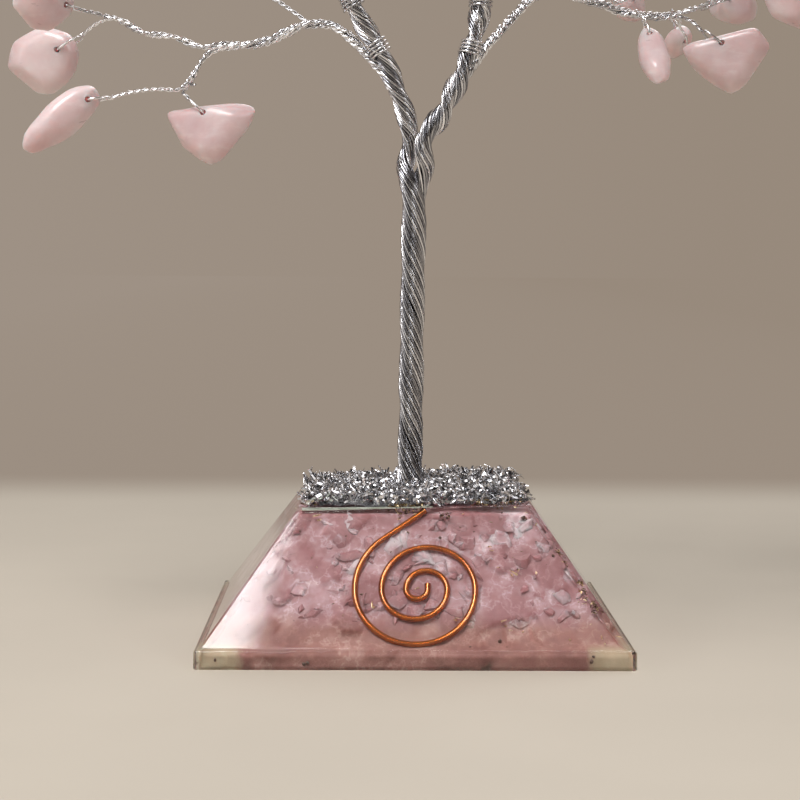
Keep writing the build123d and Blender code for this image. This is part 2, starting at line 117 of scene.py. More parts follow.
# Brass flecks and dark specks in the resin: scattered under all faces, and where the photograph shows them
FLECK_COUNT = 190
FLECK_SIZES = (0.14 * MM, 0.55 * MM)
SPECK_COUNT = 70
SPECK_SIZES = (0.12 * MM, 0.40 * MM)
FLECK_DEPTHS = (0.4 * MM, 1.2 * MM)
SPECK_DEPTHS = (0.4 * MM, 1.4 * MM)
SPOT_DEPTH = 0.45 * MM
RESIN_INDEX = 1.5
FLECK_PIXELS = (
    (317, 515, 0.9), (319, 520, 0.7), (372, 605, 0.8), (374, 607, 0.5), (490, 547, 0.8), (492, 551, 0.7),
    (512, 575, 0.7), (514, 573, 0.9), (518, 571, 0.8), (536, 573, 0.7), (455, 620, 0.7), (457, 618, 0.5),
    (503, 621, 0.7), (506, 626, 0.5), (510, 630, 0.4), (523, 632, 0.5), (554, 594, 0.3), (317, 567, 0.3),
    (581, 599, 0.5), (584, 604, 0.5), (570, 640, 0.4), (605, 644, 0.4), (620, 637, 0.5), (463, 514, 0.4),
)
SPECK_PIXELS = (
    (523, 518, 0.8), (526, 519, 0.5), (440, 538, 0.5), (391, 552, 0.4), (500, 641, 0.8), (300, 531, 0.5),
    (292, 520, 0.4), (346, 536, 0.3), (502, 513, 0.4), (553, 556, 0.6), (282, 660, 1.7), (278, 662, 0.8),
    (304, 664, 0.7), (307, 663, 0.7), (592, 661, 1.1), (593, 657, 0.8), (215, 660, 0.6), (246, 656, 0.3),
    (246, 662, 0.3), (474, 532, 0.3), (536, 542, 0.3),
)
# Sizes and depths of grains in millimetres; a cluster is its pixel box and its count
GRAIN_SIZES = (0.25, 0.6)
GRAIN_DEPTHS = (0.3, 0.9)
GRAIN_CLUSTERS = (
    (388, 503, 424, 513, 90), (398, 508, 424, 520, 34), (472, 499, 498, 509, 70), (500, 497, 522, 510, 40),
    (440, 513, 450, 520, 16), (562, 548, 574, 575, 14), (578, 580, 596, 604, 26), (590, 600, 606, 618, 30),
    (296, 500, 330, 506, 10),
)

# Shavings on the flat top
BED_HEIGHT = 1.5 * MM
MOUND_STEPS = 72
MOUND_FOOT_SHARE = 0.97
MOUND_ROOF_SHARE = 0.78
MOUND_LIFT_SHARE = 0.7
MOUND_STILL = 0.1 * MM
MOUND_GRAIN = 0.5 * MM
MOUND_GRAIN_RATE = 700.0
PILE_RISE = 1.25 * MM
PILE_EDGE = 3.5 * MM
PILE_UNEVENNESS = 0.5 * MM
PILE_RATE = 190.0
PILE_FOOT = 0.15 * MM
PILE_SPREAD = 0.75
PILE_LOWEST = 0.05 * MM
TRUNK_CLEAR = 1.6 * MM
SHAVING_COUNT = 3200
SHAVING_LENGTHS = (1.3 * MM, 4.0 * MM)
SHAVING_WIDTHS = (0.18 * MM, 0.44 * MM)
SHAVING_THICKNESS = 0.05 * MM
SHAVING_STEPS = 9
# A thin pale green strip along the front edge of the top: painted sheen of the top face
SHEEN_STRIP_X = (-17.2 * MM, 2.8 * MM)
SHEEN_STRIP_FRONT = 0.35 * MM
SHEEN_STRIP_DEPTHS = (3.0 * MM, 0.5 * MM)
SHEEN_STRIP_THICKNESS = 0.10 * MM
SHEEN_STRIP_STEPS = 60
BED_SHARES = ((-0.94, -0.84), (0.16, -0.96), (0.97, -0.97), (0.97, 0.96), (-0.96, 0.96))
BED_CORNERS = [(across * TOP_SIDE / 2, back * TOP_SIDE / 2) for across, back in BED_SHARES]

# Wire
STRAND_RADIUS = 0.21 * MM
STRAND_SIDES = 8
TWIG_SIDES = 7
WIRE_STEP = 0.24 * MM
TWIG_STEP = 0.24 * MM
BEND_SHARE = 0.45
BEND_STEPS = 12
WANDER_RATE = 170.0
LAY_PITCH = 1.1 * MM
# Lowest lightness a strand's silver may get; each strand gets its own, as painted reflection and shade for
# the bright and dark lines between strands
TRUNK_SHADE_PAINT_DARKEST = 0.1
TWIG_SHADE_PAINT_DARKEST = 0.5

# Trunk: two bundles in half moons, wound left-handed, which cross at the fork and go on round as the limbs
BUNDLE_STRAND_RADIUS = 0.20 * MM
MOON_STRANDS = 12
FLAT_STRANDS = 6
TRUNK_CIRCLE = 1.72 * MM
MOON_SHIFT = 0.02 * MM
MOON_BULGE = (1.05, 0.13)
FLAT_OFFSET = 0.32 * MM
LIMB_CIRCLE = 1.22 * MM
LIMB_LOBES = {"left": 0.20, "right": 0.34}
LIMB_PITCHES = {"left": 15.0 * MM, "right": 12.0 * MM}
TRUNK_PITCH = 22.0 * MM
TRUNK_LEAN = -0.45 * MM
STRAND_WANDER = 0.05 * MM
STRAND_UNEVENNESS = 0.07
LAY_DEPTH = 0.05
EYE_SPREAD = 0.70 * MM
EYE_HEIGHT = 75.0 * MM
EYE_REACH = 3.6 * MM
CROSSING_HEIGHT = 78.8 * MM
CROSSING_RUN = 7.0 * MM
CROSSING_OFFSET = 1.45 * MM
CROSSING_BELOW = 4.0 * MM
CROSSING_ABOVE = 3.0 * MM
TIP_SHARE = 0.55
TIP_RUN = 6.0 * MM
FORK = np.array((0.0, 0.0, 77.0)) * MM
LIMB_SIZE = np.array((15.0, 15.0, 37.0)) * MM
LIMB_POINT_SHARES = {
    "left": ((-0.11, 0.10, 0.19), (-0.33, 0.12, 0.41), (-0.66, 0.14, 0.61), (-0.96, 0.16, 1.0)),
    "right": ((0.27, -0.10, 0.14), (0.56, -0.08, 0.39), (0.69, 0.0, 0.58), (0.72, 0.06, 1.0)),
}
FOOT_SPLAY = 0.5
FOOT_SPLAY_HEIGHT = 5.0 * MM
COLLAR_TURNS = 3.5
COLLAR_PITCH = 0.62 * MM
COLLAR_CIRCLE = 1.74 * MM
COLLAR_STEPS = 24

# Branches: each stone hangs on its own wire, doubled and twisted, and the pairs run together to the limb
PAIR_PITCH = 2.7 * MM
STEM_PITCH = 10.0 * MM
STEM_OFFSET = 0.46 * MM
PAIR_RELEASE = 3.0 * MM
LIMB_RUN = 9.0 * MM
LIMB_RUN_OFFSET = 0.5 * MM
LIMB_LEAVE = 4.0 * MM
LIMB_LEAVE_OFFSET = 1.1 * MM
EYE_LENGTH = 4.0 * MM
EYE_SHOULDER = 0.7 * MM
EYE_GAP = 0.45 * MM
EYE_BEYOND = 0.25 * MM
TWIG_WANDER = 0.25 * MM
TWIG_WANDER_RUN = 3.0 * MM
BOW_SHARE = 0.07
LOOP_OPENING = 0.42 * MM
LOOP_REACH = 1.1 * MM
LOOSE_END_LENGTHS = (1.4 * MM, 3.0 * MM)
CROWN_SIZE = np.array((70.0, 50.0, 80.0)) * MM
LOWER_STEMS = {
    "lower_left": {
        "inner": (("root", (-0.178, 0.050, 0.250)), (-0.244, 0.060, 0.256)),
        "middle": (("inner", (-0.354, 0.080, 0.213)), (-0.463, 0.100, 0.209)),
        "outer": (("middle", (-0.575, 0.130, 0.228)), (-0.713, 0.180, 0.269)),
        "low": (("middle", (-0.492, 0.085, 0.165)), (-0.537, 0.080, 0.120)),
    },
    "lower_right": {
        "inner": (("root", (0.290, 0.100, 0.335)), (0.427, 0.180, 0.308)),
        "middle": (("inner", (0.480, 0.205, 0.292)), (0.530, 0.240, 0.291)),
        "outer": (("middle", (0.580, 0.262, 0.285)), (0.628, 0.280, 0.292)),
    },
}
LOWER_STONE_KNOTS = {
    "lower_left": ("low", "low", "outer", "outer", "inner"),
    "lower_right": ("inner", "middle", "outer", "outer", "outer", "outer"),
}
UPPER_BEARINGS = {
    "rear_left": 112.5,
    "front_left": 247.5,
    "side_left_front": 202.5,
    "side_left_rear": 157.5,
    "rear_right": 67.5,
    "front_right": 292.5,
    "side_right_front": 337.5,
    "side_right_rear": 22.5,
}
DOME_SIZE = np.array((58.0, 47.0, 52.0)) * MM
DOME_LIFT = 29.0 * MM
DOME_KNOT_SHARE = 0.58
DOME_KNOT_ELEVATION = math.radians(34.0)

# Stones
STONE_VOXEL = 0.34 * MM
STONE_SMOOTHINGS = 26
STONE_PULL = 0.55
STONE_LAST_SMOOTHINGS = 7
STONE_CUTS = 4
STONE_CUT_DEPTHS = (0.04, 0.14)
STONE_CUT_SHARE = 0.85
STONE_SHARP = math.radians(50)
STONE_UNEVENNESS = 0.75 * MM
STONE_NOISE_RATE = 105.0
HOLE_RADIUS = 0.5 * MM
HOLE_LENGTH = 16.0 * MM
HOLE_SIDES = 20

# Stage: the lamps light a surface at about the level that its colour is written at
FLOOR_HALF = 4.0
TABLE_COLOUR = (0.541, 0.481, 0.404, 1.0)
# The backdrop's colour at the left and at the right, the right one darker as painted shade where the light
# falls off
WALL_LIT_LEFT = (0.342, 0.283, 0.234, 1.0)
WALL_SHADED_RIGHT = (0.312, 0.254, 0.203, 1.0)
WALL_SHADE_SPAN_WORLD = (-0.17, 0.17)
WALL_SHADE_SPAN_TABLE = (-0.35, 0.35)
TABLE_FADE = (0.165, 0.235)
WORLD_COLOUR = (1.0, 0.97, 0.94, 1.0)
WORLD_LEVEL = 0.24
SOFTBOX_PLACE = (-0.214, -0.360, 0.70)
SOFTBOX_SIZE = (0.298, 0.380)
SOFTBOX_TURN = math.radians(-15.6)
SOFTBOX_POWER = 5.8
SOFT_LAMPS = (
    ("window", (-0.66, -0.30, 0.26), (0.30, 0.60), 0.9),
    ("fill", (0.70, -0.55, 0.45), (0.24, 0.24), 1.3),
    ("back", (0.20, 0.70, 0.75), (0.50, 0.50), 2.6),
)
FLAG_PLACE = -0.60
FLAG_HALF = 0.75
FLAG_HEIGHT = 0.62


def unit(vector):
    return vector / np.linalg.norm(vector)


def smooth_step(low, high, value):
    t = np.clip((value - low) / (high - low), 0, 1)
    return t * t * (3 - 2 * t)


def arc_lengths(line):
    return np.concatenate(([0.0], np.cumsum(np.linalg.norm(np.diff(line, axis=0), axis=1))))


def evenly(line, step):
    """The same line with points at even steps."""
    line = np.asarray(line)
    lengths = arc_lengths(line)
    places = np.linspace(0, lengths[-1], max(3, round(lengths[-1] / step) + 1))
    return np.stack([np.interp(places, lengths, line[:, axis]) for axis in range(3)], axis=1)


def rounded_line(points, step):
    """Straight runs joined by curves, as bent wire lies."""
    line = [points[0]]
    for before, corner, after in zip(points, points[1:], points[2:]):
        reach = BEND_SHARE * min(np.linalg.norm(before - corner), np.linalg.norm(after - corner))
        enter = corner + reach * unit(before - corner)
        leave = corner + reach * unit(after - corner)
        for t in np.linspace(0, 1, BEND_STEPS):
            line.append((1 - t) ** 2 * enter + 2 * t * (1 - t) * corner + t * t * leave)
    line.append(points[-1])
    return evenly(line, step)


def carried_frames(line):
    """Tangents and two normals along a line, carried along it without twist."""
    tangents = np.gradient(line, axis=0)
    tangents /= np.linalg.norm(tangents, axis=1)[:, None]
    reference = np.array((0.0, 1.0, 0.0)) if abs(tangents[0][1]) < 0.8 else np.array((1.0, 0.0, 0.0))
    normals = [unit(np.cross(tangents[0], reference))]
    for tangent in tangents[1:]:
        normals.append(unit(normals[-1] - tangent * (normals[-1] @ tangent)))
    normals = np.array(normals)
    return tangents, normals, np.cross(tangents, normals)


def twisted(line, offset, pitch, phase):
    """A line that winds left-handed round another one."""
    _, normals, binormals = carried_frames(line)
    angle = phase - 2 * math.pi * arc_lengths(line) / pitch
    offset = np.broadcast_to(offset, len(line))
    return line + (offset * np.cos(angle))[:, None] * normals + (offset * np.sin(angle))[:, None] * binormals


def any_way(draw):
    """A vector in any direction."""
    return [draw.gauss(0, 1) for _ in range(3)]


def skewed(draw, limits, power):
    """A value between two limits, more often near the low one."""
    return limits[0] + (limits[1] - limits[0]) * draw.random() ** power


def wandering(line, amount, key):
    """A line moved off its place a little, differently along its length."""
    moves = [noise.noise_vector(Vector((s * WANDER_RATE, key * 7.3, 1.7))) for s in arc_lengths(line)]
    return line + amount * np.array(moves)


class WireMesh:
    """Gathers strands into one mesh, with UVs that run round and along each strand."""

    def __init__(self, painted_shade_darkest):
        self.vertices, self.faces, self.uvs, self.tones, self.count = [], [], [], [], 0
        self.painted_shade_darkest = painted_shade_darkest
        self.draw = random.Random(SEED)

    def add(self, line, radius, sides, lay_depth=0.0):
        _, normals, binormals = carried_frames(line)
        along = arc_lengths(line)
        angle = 2 * math.pi * np.arange(sides) / sides
        lay = 1 + lay_depth * np.cos(2 * (angle[None, :] + 2 * math.pi * along[:, None] / (2 * LAY_PITCH)))
        reach = np.broadcast_to(radius, len(line))[:, None] * lay
        ring = line[:, None, :] + (reach * np.cos(angle))[:, :, None] * normals[:, None, :]
        ring = ring + (reach * np.sin(angle))[:, :, None] * binormals[:, None, :]
        self.vertices.append(ring.reshape(-1, 3))
        rows, sides_after = len(line), (np.arange(sides) + 1) % sides
        lower = self.count + sides * np.arange(rows - 1)[:, None]
        here, after = np.arange(sides)[None, :], sides_after[None, :]
        quads = np.stack([lower + here, lower + after, lower + sides + after, lower + sides + here], axis=-1)
        self.faces.extend(quads.reshape(-1, 4).tolist())
        u = np.stack([here, here + 1, here + 1, here], axis=-1) / sides
        v = np.stack([along[:-1], along[:-1], along[1:], along[1:]], axis=-1)[:, None, :] / LAY_PITCH
        shape = (rows - 1, sides, 4)
        pairs = np.stack([np.broadcast_to(u, shape), np.broadcast_to(v, shape)], axis=-1)
        self.uvs.append(pairs.reshape(-1, 2))
        self.faces.append([self.count + side for side in reversed(range(sides))])
        self.faces.append([self.count + sides * (rows - 1) + side for side in range(sides)])
        self.uvs.append(np.zeros((2 * sides, 2)))
        # Each strand's own lightness is painted reflection and shade
        self.tones.append(np.full(rows * sides, self.draw.uniform(self.painted_shade_darkest, 1.0)))
        self.count += rows * sides

    def build(self, name, material):
        mesh = new_mesh(name, np.concatenate(self.vertices).tolist(), self.faces)
        layer = mesh.uv_layers.new(name="strand")
        layer.data.foreach_set("uv", np.concatenate(self.uvs).astype(np.float32).ravel())
        give_tones(mesh, np.concatenate(self.tones))
        return piece(name, mesh, material)


def new_mesh(name, points, faces):
    mesh = bpy.data.meshes.new(name)
    mesh.from_pydata(points, [], faces)
    return mesh


def mesh_of(shell, name):
    """A finished shell as a mesh."""
    mesh = bpy.data.meshes.new(name)
    shell.to_mesh(mesh)
    shell.free()
    return mesh


def give_tones(mesh, tones):
    """How light each point is, for the paints."""
    attribute = mesh.attributes.new("tone", "FLOAT", "POINT")
    attribute.data.foreach_set("value", tones.astype(np.float32))


def piece(name, mesh, material, smooth=True):
    mesh.materials.append(material)
    mesh.polygons.foreach_set("use_smooth", [smooth] * len(mesh.polygons))
    mesh.update()
    made = bpy.data.objects.new(name, mesh)
    bpy.context.scene.collection.objects.link(made)
    return made


class NodeTree:
    """The nodes of a material or of the world."""

    def __init__(self, owner):
        owner.use_nodes = True
        self.nodes, self.links = owner.node_tree.nodes, owner.node_tree.links
        self.coordinates = self.nodes.new("ShaderNodeTexCoord")

    def feed(self, socket, value):
        """Link a source to a socket, or set a constant on it."""
        if isinstance(value, bpy.types.NodeSocket):
            self.links.new(value, socket)
        else:
            socket.default_value = value

    def node(self, kind, **values):
        """A new node with sources or constants on its sockets."""
        made = self.nodes.new(f"ShaderNode{kind}")
        for socket, value in values.items():
            self.feed(made.inputs[socket.replace("_", " ")], value)
        return made

    def noise(self, scale, detail=3.0, roughness=0.55, stretch=(1.0, 1.0, 1.0)):
        mapping = self.node("Mapping", Vector=self.coordinates.outputs["Object"], Scale=stretch)
        place = mapping.outputs["Vector"]
        texture = self.node("TexNoise", Vector=place, Scale=scale, Detail=detail, Roughness=roughness)
        return texture.outputs["Fac"]

    def ramp(self, source, *stops):
        node = self.node("ValToRGB", Fac=source)
        elements = node.color_ramp.elements
        while len(elements) < len(stops):
            elements.new(1.0)
        for element, (place, colour) in zip(elements, stops):
            element.position = place
            element.color = colour if len(colour) == 4 else (*colour, 1.0)
        return node.outputs["Color"]

    def levels(self, source, low, high, start=0.0, stop=1.0):
        node = self.node("MapRange", Value=source, From_Min=start, From_Max=stop, To_Min=low, To_Max=high)
        return node.outputs["Result"]

    def mixed(self, share, first, second):
        node = self.nodes.new("ShaderNodeMix")
        node.data_type = "RGBA"
        for name, value in (("Factor", share), ("A", first), ("B", second)):
            self.feed(node.inputs[name], value)
        return node.outputs["Result"]

    def maths(self, operation, first, second=0.0):
        node = self.nodes.new("ShaderNodeMath")
        node.operation = operation
        for socket, value in zip(node.inputs, (first, second)):
            self.feed(socket, value)
        return node.outputs["Value"]

    def weighted(self, *shares):
        """The sum of sources, each times its share."""
        total = None
        for source, share in shares:
            part = self.maths("MULTIPLY", source, share)
            total = part if total is None else self.maths("ADD", total, part)
        return total

    def split(self, space):
        return self.node("SeparateXYZ", Vector=self.coordinates.outputs[space]).outputs

    def attribute(self, name):
        node = self.nodes.new("ShaderNodeAttribute")
        node.attribute_name = name
        return node.outputs["Fac"]

    def blended(self, share, first, second):
        """Two shaders in one, shown on the surface."""
        mix = self.node("MixShader", Fac=share)
        self.links.new(first, mix.inputs[1])
        self.links.new(second, mix.inputs[2])
        output = next(node for node in self.nodes if node.type.startswith("OUTPUT"))
        self.links.new(mix.outputs["Shader"], output.inputs["Surface"])


class Paint(NodeTree):
    """A node material with one Principled shader."""

    def __init__(self, name, **sockets):
        self.material = bpy.data.materials.new(name)
        super().__init__(self.material)
        self.shader = self.nodes["Principled BSDF"]
        for socket, value in sockets.items():
            self.shader.inputs[socket.replace("_", " ")].default_value = value

    def to(self, socket, source):
        self.links.new(source, self.shader.inputs[socket])

    def bump(self, height, strength, distance):
        node = self.node("Bump", Height=height, Strength=strength, Distance=distance)
        self.to("Normal", node.outputs["Normal"])


def silver_paint():
    """Bright drawn wire, two fine threads laid round each other in every strand, with painted reflection and
    shade: each strand a lighter or darker silver.
    """
    paint = Paint("silver_wire", Metallic=1.0)
    cloud = paint.noise(420.0, 4.0)
    # Painted reflection and shade: the strand's own tone makes some strands dark and some bright
    tone = paint.weighted((cloud, 0.3), (paint.attribute("tone"), 0.7))
    paint.to("Base Color", paint.ramp(tone, (0.18, (0.14, 0.14, 0.16)), (0.72, (0.96, 0.96, 0.99))))
    paint.to("Roughness", paint.levels(cloud, 0.12, 0.26))
    split = paint.split("UV")
    turns = paint.maths("ADD", paint.maths("MULTIPLY", split["X"], 2.0), split["Y"])
    wave = paint.maths("SINE", paint.maths("MULTIPLY", turns, 2 * math.pi))
    paint.bump(wave, 0.09, 0.06 * MM)
    return paint.material


def shavings_paint():
    """Silver strips from dark to bright."""
    paint = Paint("shavings", Metallic=1.0)
    tone = paint.attribute("tone")
    grey = ((0.0, (0.10, 0.10, 0.11)), (0.5, (0.55, 0.55, 0.58)), (1.0, (0.97, 0.97, 1.00)))
    paint.to("Base Color", paint.ramp(tone, *grey))
    grain = paint.noise(2500.0, 3.0)
    paint.to("Roughness", paint.levels(grain, 0.12, 0.42))
    paint.bump(grain, 0.4, 0.03 * MM)
    return paint.material


def bed_paint():
    """The glue and fine dust under the shavings."""
    paint = Paint("shavings_dust", Metallic=0.8)
    grain = paint.noise(1800.0, 6.0, 0.7)
    grey = ((0.35, (0.08, 0.08, 0.085)), (0.55, (0.32, 0.32, 0.34)), (0.70, (0.75, 0.75, 0.77)))
    paint.to("Base Color", paint.ramp(grain, *grey))
    paint.to("Roughness", paint.levels(grain, 0.55, 0.30))
    paint.bump(grain, 1.0, 0.4 * MM)
    return paint.material


def resin_paint():
    """Clear casting resin with fine polishing scratches that run up and down the faces."""
    paint = Paint("resin", Base_Color=(0.955, 0.955, 0.925, 1.0), IOR=RESIN_INDEX, Transmission_Weight=1.0)
    scratches = paint.noise(420.0, 6.0, 0.65, (7.0, 7.0, 0.4))
    paint.to("Roughness", paint.levels(scratches, 0.0, 0.08))
    paint.bump(scratches, 0.035, 0.05 * MM)
    return paint.material


def cast_quartz_paint(name, milkiness):
    """Crushed rose quartz in resin: milky clouds in dusty pink, with painted shade that turns it browner
    towards the bottom.
    """
    veiled = {"Subsurface_Weight": 0.7, "Subsurface_Scale": 1.8 * MM, "Subsurface_Radius": (1.0, 0.62, 0.62)}
    paint = Paint(name, Roughness=0.6, **veiled)
    cloud = paint.noise(210.0, 3.0, 0.55)
    fine = paint.noise(760.0, 5.0, 0.6)
    tone = paint.weighted((cloud, 0.62), (fine, 0.22), (paint.attribute("tone"), 0.24))
    vein = paint.maths("ABSOLUTE", paint.maths("SUBTRACT", paint.noise(300.0, 4.0, 0.6), 0.5))
    tone = paint.maths("ADD", tone, paint.levels(vein, 0.10, 0.0, 0.0, 0.035))
    tone = paint.maths("ADD", tone, milkiness)
    pink = paint.ramp(
        tone,
        (0.36, (0.235, 0.095, 0.102)),
        (0.50, (0.298, 0.143, 0.155)),
        (0.62, (0.400, 0.252, 0.275)),
        (0.76, (0.590, 0.470, 0.500)),
    )
    # The darker brown of the painted shade at the bottom
    brown = paint.ramp(
        tone,
        (0.38, (0.185, 0.067, 0.057)),
        (0.60, (0.280, 0.130, 0.110)),
        (0.80, (0.450, 0.290, 0.260)),
    )
    split = paint.split("Object")
    # Painted shade: browner towards the bottom, its edge made uneven by the cloud
    height = paint.maths("ADD", split["Z"], paint.maths("MULTIPLY", cloud, -BOTTOM_SHADE_UNEVENNESS))
    bottom_shade = paint.levels(height, 1.0, 0.0, *BOTTOM_SHADE_HEIGHTS)
    corner = paint.levels(split["Z"], 1.0, 0.0, *CLOUDY_HEIGHTS)
    uneven = paint.maths("MULTIPLY", paint.maths("SUBTRACT", fine, 0.5), CORNER_UNEVENNESS)
    for axis in "XY":
        place = paint.maths("ADD", paint.maths("ABSOLUTE", split[axis]), uneven)
        corner = paint.maths("MULTIPLY", corner, paint.levels(place, 0.0, 1.0, *CLOUDY_CORNERS))
    green = paint.ramp(cloud, (0.3, (0.290, 0.222, 0.143)), (0.7, (0.405, 0.328, 0.230)))
    paint.to("Base Color", paint.mixed(corner, paint.mixed(bottom_shade, pink, brown), green))
    paint.bump(fine, 0.25, 0.3 * MM)
    return paint.material


def brass_paint():
    """Brass flecks from bright to brown."""
    paint = Paint("brass_flake", Metallic=1.0)
    cloud = paint.noise(2600.0, 3.0)
    tone = paint.weighted((cloud, 0.5), (paint.attribute("tone"), 0.6))
    brass = ((0.25, (0.09, 0.060, 0.035)), (0.55, (0.36, 0.26, 0.13)), (0.85, (0.92, 0.78, 0.52)))
    paint.to("Base Color", paint.ramp(tone, *brass))
    paint.to("Roughness", paint.levels(cloud, 0.16, 0.42))
    return paint.material


def speck_paint():
    """Dark brown grit."""
    paint = Paint("dark_speck", Roughness=0.6)
    cloud = paint.noise(3000.0, 3.0)
    paint.to("Base Color", paint.ramp(cloud, (0.3, (0.03, 0.015, 0.012)), (0.7, (0.16, 0.08, 0.06))))
    return paint.material


def copper_paint():
    """Copper wire under orange enamel."""
    paint = Paint("copper_enamel", Metallic=0.85, Coat_Weight=1.0, Coat_Roughness=0.06, Coat_IOR=1.55)
    cloud = paint.noise(420.0, 4.0)
    paint.to("Base Color", paint.ramp(cloud, (0.3, (0.30, 0.066, 0.007)), (0.7, (0.47, 0.130, 0.013))))
    paint.to("Roughness", paint.levels(cloud, 0.16, 0.28))
    paint.bump(cloud, 0.03, 0.1 * MM)
    return paint.material


def rose_quartz_paint():
    """Tumbled stones: milky pink, veiled, with a softly polished skin."""
    veiled = {"Subsurface_Weight": 0.8, "Subsurface_Scale": 3.4 * MM, "Subsurface_Radius": (1.0, 0.60, 0.56)}
    polish = {"IOR": 1.54, "Transmission_Weight": 0.10, "Coat_Weight": 0.20, "Coat_Roughness": 0.14}
    paint = Paint("rose_quartz", **veiled, **polish)
    cloud = paint.noise(120.0, 4.0, 0.6)
    veil = paint.noise(240.0, 5.0, 0.6, (1.0, 1.0, 3.0))
    pink = ((0.30, (0.66, 0.462, 0.468)), (0.52, (0.76, 0.600, 0.604)), (0.75, (0.84, 0.725, 0.725)))
    white = paint.ramp(veil, (0.54, (0.0, 0.0, 0.0)), (0.78, (0.6, 0.6, 0.6)))
    paint.to("Base Color", paint.mixed(white, paint.ramp(cloud, *pink), (0.90, 0.81, 0.80, 1.0)))
    paint.to("Roughness", paint.levels(veil, 0.20, 0.44))
    paint.bump(paint.noise(520.0, 4.0), 0.10, 0.2 * MM)
    return paint.material


def base_half_width(height):
    """Half the pyramid's width at a height."""
    if height < PLINTH_HEIGHT:
        return BASE_SIDE / 2
    share = (height - PLINTH_HEIGHT) / FACE_RISE
    return (PYRAMID_SIDE + (TOP_SIDE - PYRAMID_SIDE) * share) / 2


def top_at(x):
    """How high the leaning top is at a place across it."""
    return TOP_HEIGHT + TOP_LEAN * x


def close_loops(shell, loops):
    """Faces between loops of corners that stand over each other, with a floor and a roof."""
    sides = len(loops[0])
    for lower, upper in zip(loops, loops[1:]):
        for side in range(sides):
            after = (side + 1) % sides
            shell.faces.new((lower[side], lower[after], upper[after], upper[side]))
    shell.faces.new(list(reversed(loops[0])))
    shell.faces.new(loops[-1])


def stacked_squares(levels):
    """A closed mesh through square sections: half widths at heights."""
    shell = bmesh.new()
    loops = []
    for half, height in levels:
        corners = ((-half, -half), (half, -half), (half, half), (-half, half))
        loops.append([shell.verts.new((x, y, height)) for x, y in corners])
    close_loops(shell, loops)
    return shell


def resin_body():
    """The clear casting: a plinth and a pyramid cut off flat, its top leaning a little."""
    shell = stacked_squares((
        (BASE_SIDE / 2, 0.0),
        (BASE_SIDE / 2, PLINTH_HEIGHT),
        (PYRAMID_SIDE / 2, PLINTH_HEIGHT),
        (TOP_SIDE / 2, TOP_HEIGHT),
    ))
    for vertex in shell.verts:
        if vertex.co.z > PLINTH_HEIGHT + MM:
            vertex.co.z += TOP_LEAN * vertex.co.x
    body = piece("resin_casting", mesh_of(shell, "resin_casting"), resin_paint(), smooth=False)
    bevel = body.modifiers.new("edge", "BEVEL")
    bevel.width = RESIN_EDGE
    bevel.segments = 3
    bevel.harden_normals = True
    body.visible_shadow = False
    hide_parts("resin_pyramid")
    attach(body, ROOT)


def fill_rectangle(height):
    """Where the quartz reaches at a height: its lowest and highest x, its lowest and highest y."""
    half = base_half_width(max(height, PLINTH_HEIGHT))
    above = smooth_step(PLINTH_HEIGHT - 0.6 * MM, PLINTH_HEIGHT + 0.6 * MM, height)
    below = (BASE_SIDE / 2 - FILL_PLINTH_COVER) * (1 - above)
    reach = below + (half - FILL_COVER) * above
    return -below - (half - FILL_COVER_LEFT) * above, reach, -reach, reach


def broken_cell(point):
    """How deep a place lies in the chip that it belongs to, and that chip's own tone."""
    centre = noise.voronoi(point / FILL_CELL)[1][0]
    own = min(max(0.5 + 0.9 * noise.noise(centre * 7.31), 0.0), 1.0)
    slope = noise.noise_vector(centre * 3.17).dot(point / FILL_CELL - centre)
    return max(0.0, FILL_RELIEF * own + FILL_TILT * slope), own


def quartz_mass():
    """Crushed quartz up to just under the faces, broken into chips that meet without gaps."""
    heights = np.arange(FILL_FLOOR, TOP_HEIGHT - FILL_TOP_COVER, FILL_STEP)
    per_side = round(BASE_SIDE / FILL_STEP)
    around = 4 * per_side
    points, tones = [], []
    for height in heights:
        left, right, front, rear = fill_rectangle(height)
        corners = ((left, front), (right, front), (right, rear), (left, rear))
        inward = ((0, 1), (-1, 0), (0, -1), (1, 0))
        for side in range(4):
            (ax, ay), (bx, by) = corners[side], corners[(side + 1) % 4]
            for share in np.arange(per_side) / per_side:
                point = Vector((ax + (bx - ax) * share, ay + (by - ay) * share, height))
                depth, tone = broken_cell(point)
                points.append(point + depth * Vector((*inward[side], 0)))
                tones.append(tone)
    faces = [list(reversed(range(around))), list(range(around * (len(heights) - 1), around * len(heights)))]
    for row in range(len(heights) - 1):
        for place in range(around):
            here, after = row * around + place, row * around + (place + 1) % around
            faces.append([here, after, after + around, here + around])
    mesh = new_mesh("quartz_sand", points, faces)
    give_tones(mesh, np.array(tones))
    mass = piece("quartz_sand", mesh, cast_quartz_paint("quartz_sand", -0.02))
    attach(mass, ROOT)


def chip_shape(draw, radius):
    """A broken chip: a rough ball cut by flat breaks."""
    shape = bmesh.new()
    bmesh.ops.create_icosphere(shape, subdivisions=2, radius=1.0)
    breaks = []
    for _ in range(7):
        normal = Vector(any_way(draw)).normalized()
        breaks.append((normal, draw.uniform(0.45, 0.85)))
    squash = [draw.uniform(0.6, 1.15) for _ in range(3)]
    points = []
    for vertex in shape.verts:
        point = vertex.co.copy()
        for normal, depth in breaks:
            over = point.dot(normal) - depth
            if over > 0:
                point -= normal * over * 0.9
        points.append([point[axis] * squash[axis] * radius for axis in range(3)])
    faces = [[vertex.index for vertex in face.verts] for face in shape.faces]
    shape.free()
    return np.array(points), faces


